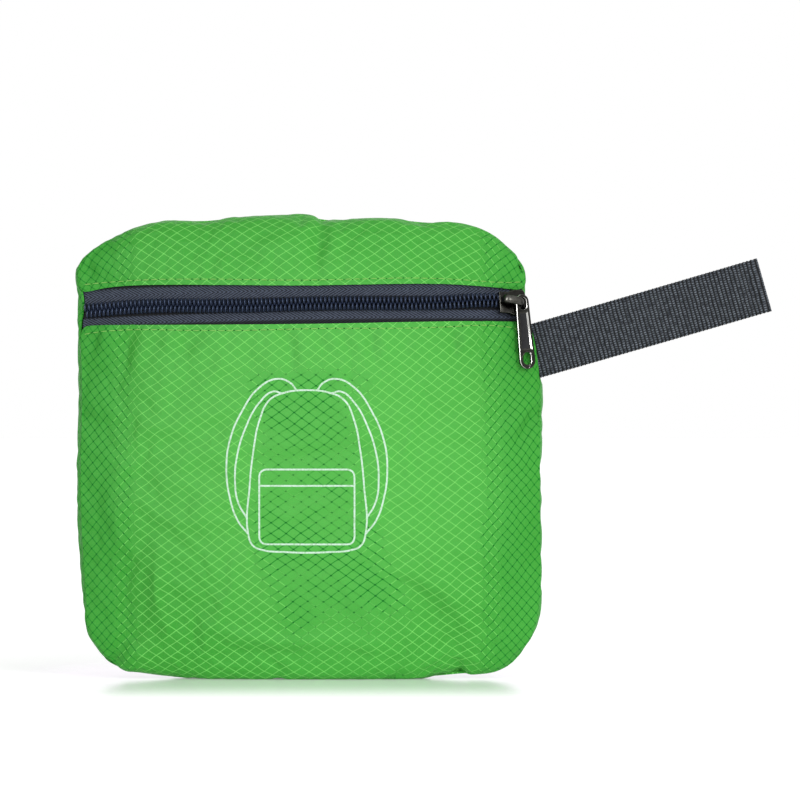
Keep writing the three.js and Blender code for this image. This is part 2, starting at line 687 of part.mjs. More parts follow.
// The slot that the loop's root needs in the cloth and in the bag.
function loopSlot() {
  const thickness = LOOP_SLIT + 2 * WEBBING + 2 * CLEARANCE;
  const past = 8;
  const length = LOOP_TUCK + CLEARANCE + past;
  const box = new THREE.BoxGeometry(length, thickness, LOOP_WIDTH + 2 * CLEARANCE);
  return box.translate(past - length / 2, 0, 0);
}

// Place of the loop: just behind the right side seam, rising to the right and a little forward.
function loopPlace() {
  const forward = radians(LOOP_FORWARD);
  const rise = radians(LOOP_RISE);
  const level = Math.cos(rise);
  const along = new THREE.Vector3(level * Math.cos(forward), -level * Math.sin(forward), Math.sin(rise));
  const back = new THREE.Vector3(Math.sin(forward), Math.cos(forward), 0);
  const up = along.clone().cross(back);
  const root = skin(1, tiltAt(1, zipHeight - LOOP_BELOW_ZIP));
  root.y += LOOP_SLIT / 2 + WEBBING + CLEARANCE;
  return new THREE.Matrix4().makeBasis(along, back, up).setPosition(root);
}

const cloth = (color) => new THREE.MeshStandardMaterial({ color, roughness: 0.75, metalness: 0 });
const GREEN_CLOTH = cloth(0x45b83c);
const NAVY_TAPE = cloth(0x3a424f);
const NAVY_COIL = new THREE.MeshStandardMaterial({ color: 0x1d212c, roughness: 0.45, metalness: 0 });
const NAVY_WEBBING = cloth(0x31393f);
const DARK_METAL = new THREE.MeshStandardMaterial({ color: 0x3c3b38, roughness: 0.3, metalness: 0.9 });

function named(name, geometry, material) {
  const mesh = new THREE.Mesh(geometry, material);
  mesh.name = name;
  return mesh;
}

function placed(geometry, place) {
  return geometry.clone().applyMatrix4(place);
}

const atSlider = sliderPlace();
const atPull = pullPlace(atSlider);
const atLoop = loopPlace();
const slotTool = placed(loopSlot(), atLoop);

// Room behind the chain for the slider's lower plate.
const sliderRoom = placed(
  new THREE.BoxGeometry(SLIDER_LENGTH + 1, 4, SLIDER_FRONT_WIDTH + 1).translate(0, -lowerPlateTop - 0.5, 0),
  atSlider,
);

const backpack = new THREE.Group();
backpack.add(
  named("front_panel", cut(frontPanel(), slotTool), GREEN_CLOTH),
  named("top_panel", topPanel(), GREEN_CLOTH),
  named("back_panel", cut(backPanel(), slotTool), GREEN_CLOTH),
  named("packed_bag", cut(packedBag(), slotTool, sliderRoom), GREEN_CLOTH),
  named("zip_tape_upper", zipTape(1), NAVY_TAPE),
  named("zip_tape_lower", cut(zipTape(-1), slotTool), NAVY_TAPE),
  named("zip_coil_upper", zipCoil(1), NAVY_COIL),
  named("zip_coil_lower", zipCoil(-1), NAVY_COIL),
  named("zip_slider", placed(zipSlider(), atSlider), DARK_METAL),
  named("zip_pull", placed(zipPull(), atPull), DARK_METAL),
  named("web_loop", placed(webLoop(), atLoop), NAVY_WEBBING),
);

export default backpack;
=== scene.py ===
import json
import math

import bpy
import numpy as np
from mathutils import Matrix, Vector
from mathutils.bvhtree import BVHTree


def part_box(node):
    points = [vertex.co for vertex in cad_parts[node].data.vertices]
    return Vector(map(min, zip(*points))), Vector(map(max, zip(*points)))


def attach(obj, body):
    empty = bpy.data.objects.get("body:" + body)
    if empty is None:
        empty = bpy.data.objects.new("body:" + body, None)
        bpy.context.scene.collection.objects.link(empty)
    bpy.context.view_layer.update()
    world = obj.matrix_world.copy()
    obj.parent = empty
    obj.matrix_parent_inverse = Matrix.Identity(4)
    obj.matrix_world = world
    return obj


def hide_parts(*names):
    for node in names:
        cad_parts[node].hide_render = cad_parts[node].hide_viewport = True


# The looks of a packable backpack folded into its zip pouch: stuffed ripstop cloth, a coil zip with a
# metal slider and pull, a webbing loop and a printed line drawing. Metres, +Z up, the front faces -Y.
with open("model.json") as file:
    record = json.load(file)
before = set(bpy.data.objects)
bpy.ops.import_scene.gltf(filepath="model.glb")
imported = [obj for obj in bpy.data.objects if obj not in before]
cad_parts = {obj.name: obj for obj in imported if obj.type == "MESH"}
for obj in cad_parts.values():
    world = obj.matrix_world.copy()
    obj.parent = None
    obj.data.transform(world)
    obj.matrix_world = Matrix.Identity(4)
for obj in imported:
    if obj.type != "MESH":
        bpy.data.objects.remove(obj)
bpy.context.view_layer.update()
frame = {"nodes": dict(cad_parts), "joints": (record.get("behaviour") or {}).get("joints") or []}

MM = 0.001
NODES = frame["nodes"]
BODY_LOW, BODY_HIGH = (Vector(corner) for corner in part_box("back_panel"))
POUCH_WIDTH = BODY_HIGH.x - BODY_LOW.x
POUCH_HEIGHT = BODY_HIGH.z

# Camera
PICTURE_SCALE = 0.375 * MM  # one pixel of the 800 pixel picture
PICTURE_SIDE = 800
FLOOR_PIXEL = 678  # picture row of the floor under the pouch
MIDDLE_PIXEL = 309  # picture column of the origin
CAMERA_DISTANCE = 3.0
CAMERA_ELEVATION = math.radians(1)
SENSOR = 36

# Cloth
CLOTH_WALL = 0.8 * MM
WRINKLE_CAP = 2.4 * MM
FOLD_DEPTH = 3.4 * MM
BAG_INSET = 2.6 * MM
HEM = 2.0 * MM
HEM_PUFF = 0.22 * MM
HEM_GROOVE = 0.3 * MM
SLACK = 0.02  # extra cloth that the stuffing crumples
RIPSTOP_WIDTH = 5.35 * MM
RIPSTOP_HEIGHT = 3.88 * MM
RIPSTOP_LINE = 0.29 * MM
SEAM_GATHER = 0.45  # how much tighter the cloth lies towards the side seams
GATHER_START = 0.72  # share of half the width
THREAD_WAVER = 1.6 * MM
THREAD_RISE = 0.12 * MM
WEAVE_PITCH = 0.26 * MM
CLOTH_FRAMES = 25  # how long the cloth settles
INNER_GRIP = 0.12  # how firmly the cloth keeps its place between its edges
CREASE_CLEAR = 7.5 * MM  # from the chain, past which the folds deepen
CREASE_FADE = 5 * MM
CREASE_LEAST = 0.12  # share of a fold's depth that is left at the chain

# Where painted shade turns the threads dark, from and to
DARK_SHIFT = 3.5 * MM  # to either side for the two directions of thread
DARK_MARGIN = (0.7, 0.84)  # beside the seams, as shares of half the width
DARK_MIDDLE = (17 * MM, 29 * MM)  # behind the drawing
DARK_MIDDLE_TOP = (0.64, 0.72)  # shares of the height
DRIFT_START = 0.35  # share of the height below which that place drifts right
DRIFT_LEAN = 0.35
DARK_BAND = (7 * MM, 15 * MM)  # slanting down to the right, below the drawing
DARK_BAND_TOP = (0.24, 0.32)
BAND_ACROSS = 0.4  # share of half the width
BAND_UP = 0.17
BAND_SLOPE = 1.45

# Zip
TOOTH_PITCH = 1.56 * MM
TOOTH_WIRE = 0.36 * MM
STITCH_PITCH = 3.15 * MM
STITCH_LENGTH = 2.3 * MM
STITCH_THICKNESS = 0.3 * MM
NEEDLE_HOLE = 0.26 * MM  # radius
COIL_WIDTH = 2.6 * MM  # one row
COIL_RISE = 2.0 * MM
COIL_LIFT = 0.3 * MM  # off the tape
ZIP_MIDDLE = 140.4 * MM  # height of the chain
ZIP_SLOPE = 0.0185
ZIP_BOW = 0.21  # per metre
HERRINGBONE_ROW = 2.6 * MM
HERRINGBONE_PITCH = 0.78 * MM
CHAIN_START = 2.4 * MM  # from the tape's left end
CHAIN_END = 1.2 * MM  # from its right end
PARTING_START = 4.4 * MM  # behind the slider's mouth
PARTING_RUN = 2 * MM
PARTING_GAP = 1.4 * MM  # of each row
STITCH_START = 2.5 * MM
STITCH_END = 1.5 * MM
STITCH_LIFT = 0.06 * MM
HOLE_DEPTH = 0.3 * MM
HOLE_SINK = 0.12 * MM

# Slider and pull
BRIDGE_HEIGHT = 4.2 * MM  # above the slider's plate
BRIDGE_THICKNESS = 1.15 * MM
BRIDGE_WIDTH = 2.8 * MM
PULL_THICKNESS = 1.4 * MM
PULL_RECESS = 0.4 * MM
EYE_BELOW = 1.0 * MM  # from the pull's end
EYE_ABOVE = 6.5 * MM
EYE_REACH = 1.7 * MM
EYE_STRETCH = 1.35
SLIDER_BEVEL = 0.25 * MM
PULL_BEVEL = 0.24 * MM

# Floor and light
FLOOR_SIDE = 8
FLOOR_GAP = 0.02 * MM
FLOOR_GLOW = 0.42
MIRROR_ROUGHNESS = 0.16
MIRROR_TINT = (0.95, 0.9, 0.97)
REFLECTION = 0.62  # strongest share
REFLECTION_REACH = 0.17
BRIGHT_SIDE = (0.5, -1.0, 0.35)
TENT_DIM = 0.16
TENT_BRIGHT = 1.3
BACK_GLOSS = 1.0
KEY_DIRECTION = (0.5, -1.0, 0.35)
KEY_SPREAD = 14  # degrees
KEY_POWER = 0.95
SOFTBOX_SIDE = 1.0
SOFTBOX_POWER = 38
SOFTBOX_PLACE = (-0.9, -1.6, 0.7)
SOFTBOX_TARGET = (0.07, 0, 0.13)

# Webbing loop
LOOP_LENGTH = 90 * MM
LOOP_WIDTH = 20 * MM
LOOP_TUCK = 4 * MM
LOOP_SLIT = 0.4 * MM
LOOP_FOLD = 0.9 * MM
LOOP_FOLD_LENGTH = 9 * MM
LOOP_BOW = 1.5 * MM
LOOP_RISE = 16  # degrees
LOOP_FORWARD = 12
WEBBING_THICKNESS = 1.5 * MM
RIB_PITCH = 1.5 * MM
RIB_DEPTH = 0.3 * MM
CORD_PITCH = 1.67 * MM
FLECK_PITCH = 0.85 * MM
RIB_STEPS = 5  # faces along one rib
STRIP_ROWS = 30
SELVAGE = 1.2 * MM
SELVAGE_WAVE = 0.24 * MM

# Print
PRINT_LINE = 0.66 * MM
PRINT_LIFT = 0.08 * MM
PRINT_FILM = 0.05 * MM
PRINT_HALF_WIDTH = 29.9 * MM
PRINT_HEIGHT = 64.7 * MM
PRINT_BASE = 47.9 * MM  # above the floor
PRINT_MIDDLE = -0.5 * MM


def deselect():
    bpy.ops.object.select_all(action="DESELECT")


def work_on(piece):
    deselect()
    piece.select_set(True)
    bpy.context.view_layer.objects.active = piece


def edit(piece, mode="FACE"):
    work_on(piece)
    bpy.context.tool_settings.mesh_select_mode = (mode == "VERT", mode == "EDGE", mode == "FACE")
    bpy.ops.object.mode_set(mode="EDIT")


def edit_all(piece, mode="FACE"):
    edit(piece, mode)
    bpy.ops.mesh.select_all(action="SELECT")


def leave_edit():
    bpy.ops.object.mode_set(mode="OBJECT")


def apply_modifiers(piece):
    work_on(piece)
    for modifier in list(piece.modifiers):
        bpy.ops.object.modifier_apply(modifier=modifier.name)


def finer(piece, levels):
    modifier = piece.modifiers.new("finer", "SUBSURF")
    modifier.levels = levels
    modifier.render_levels = levels
    modifier.boundary_smooth = "ALL"
    apply_modifiers(piece)


def thicken(piece, thickness, offset=-1, quality=False):
    wall = piece.modifiers.new("wall", "SOLIDIFY")
    wall.thickness = thickness
    wall.offset = offset
    wall.use_quality_normals = quality
    apply_modifiers(piece)


def values_of(items, name, size=1, kind=float):
    """One property of all vertices, edges, faces or corners, with a row for each."""
    values = np.empty(len(items) * size, dtype=kind)
    items.foreach_get(name, values)
    return values.reshape(-1, size) if size > 1 else values


def points_of(mesh):
    return values_of(mesh.vertices, "co", 3)


def move_points(mesh, points):
    mesh.vertices.foreach_set("co", np.ascontiguousarray(points, dtype=float).ravel())
    mesh.update()


def face_values(mesh, name):
    return values_of(mesh.polygons, name, 3)


def select_faces(mesh, chosen):
    mesh.vertices.foreach_set("select", np.zeros(len(mesh.vertices), dtype=bool))
    mesh.edges.foreach_set("select", np.zeros(len(mesh.edges), dtype=bool))
    mesh.polygons.foreach_set("select", np.asarray(chosen, dtype=bool))


def copy_of(node, name):
    mesh = NODES[node].data.copy()
    mesh.materials.clear()
    piece = bpy.data.objects.new(name, mesh)
    bpy.context.scene.collection.objects.link(piece)
    edit_all(piece, "VERT")
    bpy.ops.mesh.remove_doubles(threshold=0.004 * MM)
    bpy.ops.mesh.customdata_custom_splitnormals_clear()
    leave_edit()
    return piece


def add_camera():
    middle_x = (PICTURE_SIDE / 2 - MIDDLE_PIXEL) * PICTURE_SCALE
    middle_z = (FLOOR_PIXEL - PICTURE_SIDE / 2) * PICTURE_SCALE
    target = Vector((middle_x, 0, middle_z))
    away = Vector((0, -math.cos(CAMERA_ELEVATION), math.sin(CAMERA_ELEVATION)))
    data = bpy.data.cameras.new("camera")
    data.sensor_width = SENSOR
    data.lens = SENSOR * CAMERA_DISTANCE / (PICTURE_SIDE * PICTURE_SCALE)
    data.clip_end = 20
    camera = bpy.data.objects.new("camera", data)
    camera.location = target + CAMERA_DISTANCE * away
    camera.rotation_euler = (math.pi / 2 - CAMERA_ELEVATION, 0, 0)
    bpy.context.scene.collection.objects.link(camera)
    bpy.context.scene.camera = camera


add_camera()


# Shader maths


class Value:
    """A socket that Python's operators turn into Math nodes."""

    def __init__(self, shader, socket):
        self.shader = shader
        self.socket = socket

    def math(self, operation, *others):
        return self.shader.node("ShaderNodeMath", {"operation": operation}, [self, *others])

    def __add__(self, other):
        return self.math("ADD", other)

    def __sub__(self, other):
        return self.math("SUBTRACT", other)

    def __mul__(self, other):
        return self.math("MULTIPLY", other)

    def __truediv__(self, other):
        return self.math("DIVIDE", other)

    def __rsub__(self, other):
        return self.math("MULTIPLY", -1).math("ADD", other)

    __radd__ = __add__
    __rmul__ = __mul__

    def smooth(self, low, high, start=0, end=1):
        return self.shader.node(
            "ShaderNodeMapRange",
            {"interpolation_type": "SMOOTHSTEP"},
            {"Value": self, "From Min": low, "From Max": high, "To Min": start, "To Max": end},
        )


class Nodes:
    """A node tree, and the one way in which nodes are added to it."""

    def __init__(self, tree):
        self.tree = tree

    def node(self, kind, settings, sockets, output=0):
        node = self.tree.nodes.new(kind)
        for name, value in settings.items():
            setattr(node, name, value)
        pairs = enumerate(sockets) if isinstance(sockets, list) else sockets.items()
        for key, value in pairs:
            if isinstance(value, Value):
                self.tree.links.new(value.socket, node.inputs[key])
            else:
                node.inputs[key].default_value = value
        return Value(self, node.outputs[output])


class Shader(Nodes):
    """One material and the nodes that it is built from."""

    def __init__(self, name, color, roughness, **fixed):
        self.material = bpy.data.materials.new(name)
        self.material.use_nodes = True
        super().__init__(self.material.node_tree)
        self.surface = self.tree.nodes["Principled BSDF"]
        self.surface.inputs["Base Color"].default_value = (*color, 1)
        self.surface.inputs["Roughness"].default_value = roughness
        for socket, value in fixed.items():
            self.surface.inputs[socket.replace("_", " ")].default_value = value
        self.material.diffuse_color = (*color, 1)

    def place(self, uv=None):
        """Object coordinates, or the named UV map, split into its parts."""
        if uv:
            spot = self.node("ShaderNodeUVMap", {"uv_map": uv}, {})
        else:
            spot = self.node("ShaderNodeTexCoord", {}, {}, "Object")
        parts = [self.node("ShaderNodeSeparateXYZ", {}, [spot], axis) for axis in "XYZ"]
        return spot, *parts

    def noise(self, spot, scale, detail=2, roughness=0.5):
        sockets = {"Vector": spot, "Scale": scale, "Detail": detail, "Roughness": roughness}
        return self.node("ShaderNodeTexNoise", {"normalize": True}, sockets)

    def mix(self, share, first, second):
        return self.node(
            "ShaderNodeMix",
            {"data_type": "RGBA"},
            {0: share, 6: self.colour(first), 7: self.colour(second)},
            2,
        )

    def colour(self, value):
        return value if isinstance(value, Value) else (*value, 1)

    def bump(self, height, distance, strength=1.0, normal=None):
        sockets = {"Height": height, "Distance": distance, "Strength": strength}
        if normal:
            sockets["Normal"] = normal
        return self.node("ShaderNodeBump", {}, sockets)

    def feed(self, **links):
        for socket, value in links.items():
            self.tree.links.new(value.socket, self.surface.inputs[socket.replace("_", " ")])
        return self.material


def srgb(red, green, blue):
    def linear(value):
        value /= 255
        return value / 12.92 if value <= 0.04045 else ((value + 0.055) / 1.055) ** 2.4

    return linear(red), linear(green), linear(blue)


def scaled(shares, size):
    return [share * size for share in shares]


def ripstop():
    """Green nylon with a raised diamond grid over a fine plain weave. Its two sets of threads are painted
    light in some places, as a painted highlight, and dark in others, as painted shade, with dark knots where
    two dark threads cross. The cloth is also painted paler towards its middle, as painted light."""
    shader = Shader("ripstop", srgb(72, 168, 64), 0.5, Specular_IOR_Level=0.08)
    spot, u, v, _ = shader.place("cloth")
    place, x, _, z = shader.place()
    half = POUCH_WIDTH / 2
    waver = (shader.noise(spot, 60, 3) - 0.5) * THREAD_WAVER
    gathered = (u.math("ABSOLUTE") - GATHER_START * half).math("MAXIMUM", 0) * SEAM_GATHER
    across = (u + waver + gathered * u.math("SIGN")) / RIPSTOP_WIDTH
    up = (v - waver) / RIPSTOP_HEIGHT
    rising_way = across - up
    falling_way = across + up
    spacing = 1 / math.hypot(1 / RIPSTOP_WIDTH, 1 / RIPSTOP_HEIGHT)
    line = RIPSTOP_LINE / spacing / 2

    def threads(along, width):
        apart = along.math("PINGPONG", 0.5)
        return 1 - apart.smooth(line * 0.4 * width, line * 1.5 * width)

    def painted_thread_light(shift):
        """Where the threads of one direction are painted bright, as a painted highlight where they catch the
        light.
        """
        x_here = x + shift
        margin = 1 - x_here.math("ABSOLUTE").smooth(*scaled(DARK_MARGIN, half))
        drift = (DRIFT_START * POUCH_HEIGHT - z).math("MAXIMUM", 0) * DRIFT_LEAN
        inside = 1 - (x_here - drift).math("ABSOLUTE").smooth(*DARK_MIDDLE)
        inside = inside * (1 - z.smooth(*scaled(DARK_MIDDLE_TOP, POUCH_HEIGHT)))
        slope = (x_here - BAND_ACROSS * half) + (z - BAND_UP * POUCH_HEIGHT) * BAND_SLOPE
        band = 1 - slope.math("ABSOLUTE").smooth(*DARK_BAND)
        band = band * (1 - z.smooth(*scaled(DARK_BAND_TOP, POUCH_HEIGHT)))
        patches = shader.noise(place, 26, 3, 0.6) - 0.5
        light = margin - inside * 0.62 - band * 0.4 + patches * 1.5
        return light.smooth(0.2, 0.62)

    rising = threads(rising_way, 1)
    falling = threads(falling_way, 1)
    rising_painted_light = painted_thread_light(DARK_SHIFT)
    falling_painted_light = painted_thread_light(-DARK_SHIFT)
    rising_painted_shade = threads(rising_way, 1.3) * (1 - rising_painted_light)
    falling_painted_shade = threads(falling_way, 1.3) * (1 - falling_painted_light)
    tone = shader.noise(place, 14, 3)
    cloth = shader.mix(tone.smooth(0.3, 0.7), srgb(52, 146, 48), srgb(60, 154, 56))
    # Painted light: the cloth is painted paler towards its middle, standing in for how light falls on the
    # stuffed, rounded pouch.
    side = (x - 4 * MM) / (0.5 * POUCH_WIDTH)
    rise = (z - 0.5 * POUCH_HEIGHT) / (0.5 * POUCH_HEIGHT)
    painted_pillow_light = 1 - (side * side + rise * rise).smooth(0.05, 1.0)
    cloth = shader.mix(painted_pillow_light * 0.85, cloth, srgb(77, 169, 70))
    grain = shader.noise(spot, 2300, 2, 0.6)
    cloth = shader.mix(grain.smooth(0.35, 0.8) * 0.28, cloth, srgb(98, 142, 62))
    # Lit and shaded copies of the thread colour: painted highlight on the threads in some places, painted
    # shade in others.
    painted_shade_green = srgb(18, 124, 34)
    painted_light_green = srgb(118, 206, 98)
    colour = shader.mix(rising_painted_shade * 0.8, cloth, painted_shade_green)
    colour = shader.mix(falling_painted_shade * 0.8, colour, painted_shade_green)
    colour = shader.mix(rising * rising_painted_light * 0.72, colour, painted_light_green)
    colour = shader.mix(falling * falling_painted_light * 0.72, colour, painted_light_green)
    knots = threads(rising_way, 2.1) * threads(falling_way, 2.1) * (1 - rising_painted_light * falling_painted_light)
    colour = shader.mix(knots, colour, srgb(6, 100, 28))
    turns = 2 * math.pi / WEAVE_PITCH
    cells = (u * turns).math("SINE") * (v * turns).math("SINE")
    height = rising.math("MAXIMUM", falling) * 0.8 + cells * 0.14
    rough = 0.5 - rising_painted_light * 0.06
    return shader.feed(Base_Color=colour, Roughness=rough, Normal=shader.bump(height, THREAD_RISE, 0.8))


def zip_rise(x, z):
    """How far above the middle of the chain a place on the tape is."""
    return z - (ZIP_MIDDLE + x * ZIP_SLOPE - x * x * ZIP_BOW)


def tape_cloth():
    """Navy woven tape with a herringbone of fine slanted ribs, with painted shade under the chain and a
    painted shadow under the cloth's edges.
    """
    shader = Shader("zip_tape", srgb(48, 55, 69), 0.75, Specular_IOR_Level=0.15, Sheen_Weight=0.1)
    spot, x, _, z = shader.place()
    rise = zip_rise(x, z)
    slant = (rise / HERRINGBONE_ROW).math("PINGPONG", 1) * HERRINGBONE_ROW
    ribs = ((x * 0.49 + slant * 0.87) / HERRINGBONE_PITCH).math("PINGPONG", 0.5) * 2
    worn = shader.noise(spot, 900, 2)
    colour = shader.mix(ribs.smooth(0.15, 0.85), srgb(13, 16, 24), srgb(70, 78, 95))
    colour = shader.mix(worn.smooth(0.4, 0.75) * 0.3, colour, srgb(78, 86, 100))
    # Painted shade: the tape is painted near black under the chain.
    painted_chain_shade = 1 - rise.math("ABSOLUTE").smooth(2.3 * MM, 3.0 * MM)
    colour = shader.mix(painted_chain_shade * 0.95, colour, srgb(6, 8, 13))
    # Painted shadow: the tape is painted dark where the cloth's folded edges overhang it.
    painted_hem_shadow = rise.smooth(7.3 * MM, 8.4 * MM) + (0 - rise).smooth(5.3 * MM, 6.3 * MM)
    colour = shader.mix(painted_hem_shadow * 0.85, colour, srgb(5, 12, 10))
    return shader.feed(Base_Color=colour, Normal=shader.bump(ribs, 0.16 * MM, 1.0))


def coil_plastic():
    """Dark nylon filament."""
    shader = Shader("zip_coil", srgb(30, 34, 46), 0.3, Specular_IOR_Level=0.45)
    shader.surface.inputs["Specular Tint"].default_value = (0.5, 0.66, 1, 1)
    spot, *_ = shader.place()
    shade = shader.noise(spot, 700, 2)
    colour = shader.mix(shade, srgb(12, 16, 28), srgb(32, 40, 60))
    return shader.feed(Base_Color=colour, Roughness=0.24 + shade * 0.2)


def webbing_cloth():
    """Navy webbing whose crosswise ribs are made of small pale flecks of the warp."""
    shader = Shader("webbing", srgb(44, 51, 58), 0.75, Specular_IOR_Level=0.15, Sheen_Weight=0.15)
    spot, along, across, _ = shader.place("weave")
    waver = (shader.noise(spot, 300, 2) - 0.5) * (0.5 * MM)
    rib = ((along + waver) / RIB_PITCH).math("PINGPONG", 0.5) * 2
    odd = ((along / RIB_PITCH).math("FLOOR") * 0.5).math("FRACT") * 0.5
    warp = ((across + waver) / FLECK_PITCH + odd).math("PINGPONG", 0.5) * 2
    body = rib.smooth(0.28, 0.7)
    fleck = rib.smooth(0.4, 0.85) * warp.smooth(0.15, 0.75)
    worn = shader.noise(spot, 520, 3, 0.7)
    colour = shader.mix(body, srgb(2, 3, 5), srgb(24, 29, 37))
    colour = shader.mix(fleck * worn.smooth(0.25, 0.65), colour, srgb(104, 111, 119))
    height = body * 0.6 + fleck * 0.4
    return shader.feed(Base_Color=colour, Normal=shader.bump(height, 0.3 * MM, 1.0))


def dark_metal():
    """Dark plated metal with soft smudges."""
    shader = Shader("slider_metal", srgb(42, 42, 40), 0.2, Metallic=1.0)
    spot, *_ = shader.place()
    smudge = shader.noise(spot, 260, 3, 0.6)
    colour = shader.mix(smudge.smooth(0.3, 0.8), srgb(34, 34, 32), srgb(50, 50, 47))
    return shader.feed(Base_Color=colour, Roughness=0.14 + smudge * 0.14)


def rubbed_and_lit_metal():
    """The same metal where edges are rubbed bright. On the pull its brightness is partly wear and partly a
    painted highlight on the edges that face left.
    """
    shader = Shader("rubbed_and_lit_metal", srgb(186, 185, 182), 0.22, Metallic=1.0)
    spot, *_ = shader.place()
    rub = shader.noise(spot, 180, 2)
    colour = shader.mix(rub.smooth(0.25, 0.75), srgb(176, 176, 172), srgb(214, 214, 210))
    return shader.feed(Base_Color=colour, Roughness=0.14 + rub * 0.12)


def plated_metal():
    """Polished dark metal: the slider's bridge and rounded edges, and the pull's rounded edges that don't
    face left.
    """
    shader = Shader("plated_metal", srgb(66, 66, 62), 0.16, Metallic=1.0)
    spot, *_ = shader.place()
    rub = shader.noise(spot, 420, 3, 0.6)
    colour = shader.mix(rub.smooth(0.3, 0.75), srgb(56, 56, 52), srgb(80, 80, 76))
    return shader.feed(Base_Color=colour, Roughness=0.2 + rub * 0.14)


def sunk_metal():
    """The blackened panel of the pull."""
    shader = Shader("sunk_metal", srgb(14, 15, 17), 0.5, Specular_IOR_Level=0.25)
    spot, *_ = shader.place()
    dust = shader.noise(spot, 800, 3, 0.6)
    colour = shader.mix(dust.smooth(0.35, 0.8), srgb(9, 10, 12), srgb(26, 27, 29))
    return shader.feed(Base_Color=colour, Roughness=0.42 + dust * 0.2)


def white_print():
    """White ink that sits in the weave of the cloth."""
    shader = Shader("white_print", srgb(196, 220, 204), 0.6, Specular_IOR_Level=0.2)
    spot, *_ = shader.place()
    wear = shader.noise(spot, 1500, 2)
    colour = shader.mix(wear.smooth(0.3, 0.6), srgb(150, 194, 150), srgb(190, 216, 198))
    return shader.feed(Base_Color=colour, Normal=shader.bump(wear, 0.05 * MM, 0.6))


def green_thread():
    """Yellowish green sewing thread, twisted."""
    shader = Shader("green_thread", srgb(120, 186, 78), 0.6)
    spot, x, _, z = shader.place()
    twist = ((x + z) / (0.28 * MM)).math("PINGPONG", 0.5) * 2
    colour = shader.mix(twist, srgb(92, 164, 58), srgb(148, 204, 98))
    return shader.feed(Base_Color=colour, Normal=shader.bump(twist, 0.05 * MM, 0.7))


def pale_floor():
    """White table top, polished enough under the pouch to mirror it softly."""
    shader = Shader("pale_floor", (0.9, 0.9, 0.9), 0.6, Specular_IOR_Level=0.0, Emission_Strength=FLOOR_GLOW)
    shader.surface.inputs["Emission Color"].default_value = (1, 1, 1, 1)
    _, x, y, _ = shader.place()
    beside = (x.math("ABSOLUTE") - 0.4 * POUCH_WIDTH).math("MAXIMUM", 0)
    far = (beside * beside * 9 + y * y).math("SQRT")
    polish = (1 - far.smooth(0.25 * REFLECTION_REACH, REFLECTION_REACH)) * REFLECTION
    mirror = {"Roughness": MIRROR_ROUGHNESS, "Color": (*MIRROR_TINT, 1)}
    gloss = shader.node("ShaderNodeBsdfGlossy", {}, mirror)
    matt = Value(shader, shader.surface.outputs["BSDF"])
    blend = shader.node("ShaderNodeMixShader", {}, [polish, matt, gloss])
    surface = shader.tree.nodes["Material Output"].inputs["Surface"]
    shader.tree.links.new(blend.socket, surface)
    return shader.material


# Pieces that are modelled once and copied


def wire_through(stations, radius, sides):
    """A ring drawn through stations of (x, y, z, swell) and closed at both ends. It bends about X."""
    path = [Vector(station[:3]) for station in stations]
    swells = [station[3] for station in stations]

    def heading(index):
        before = path[max(index - 1, 0)]
        after = path[min(index + 1, len(path) - 1)]
        return math.atan2(after.z - before.z, after.y - before.y)

    deselect()
    bpy.ops.mesh.primitive_circle_add(
        vertices=sides,
        radius=radius * swells[0],
        fill_type="NGON",
        location=path[0],
        rotation=(heading(0) - math.pi / 2, 0, 0),
    )
    piece = bpy.context.active_object
    bpy.ops.object.transform_apply(location=True, rotation=True, scale=True)
    edit_all(piece)
    for index in range(1, len(path)):
        step = path[index] - path[index - 1]
        bpy.ops.mesh.extrude_region_move(TRANSFORM_OT_translate={"value": step})
        turn = heading(index) - heading(index - 1)
        turn = math.atan2(math.sin(turn), math.cos(turn))
        bpy.ops.transform.rotate(value=-turn, orient_axis="X", center_override=path[index])
        swell = swells[index] / swells[index - 1]
        bpy.ops.transform.resize(value=(swell, swell, swell), center_override=path[index])
    bpy.ops.mesh.select_all(action="SELECT")
    bpy.ops.mesh.normals_make_consistent(inside=False)
    leave_edit()
    return piece


def lay_copies(template, places, name):
    """A copy of the template at each place, joined as one piece that sits at the origin."""
    copies = []
    for place in places:
        mesh = template.data.copy()
        copy = bpy.data.objects.new(name, mesh)
        copy.matrix_world = place
        bpy.context.scene.collection.objects.link(copy)
        copies.append(copy)
    bpy.data.objects.remove(template)
    bpy.context.view_layer.update()
    deselect()
    for copy in copies:
        copy.select_set(True)
    bpy.context.view_layer.objects.active = copies[0]
    bpy.ops.object.join()
    bpy.ops.object.transform_apply(location=True, rotation=True, scale=True)
    piece = bpy.context.active_object
    piece.name = name
    return piece


def finished(piece, name, material, body="pouch", replaces=()):
    piece.name = name
    piece.data.name = name
    piece.data.materials.clear()
    piece.data.materials.append(material)
    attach(piece, body)
    if replaces:
        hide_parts(*replaces)
    return piece


# Zip


def tree_of(*pieces):
    corners = []
    faces = []
    for piece in pieces:
        start = len(corners)
        corners.extend(Vector(point) for point in points_of(piece.data))
        faces.extend([start + index for index in face.vertices] for face in piece.data.polygons)
    return BVHTree.FromPolygons(corners, faces)


def met_from_front(tree, x, z):
    """The place and the normal where a line straight from the front meets a surface."""
    return tree.ray_cast(Vector((x, -1, z)), Vector((0, 1, 0)))[:2]


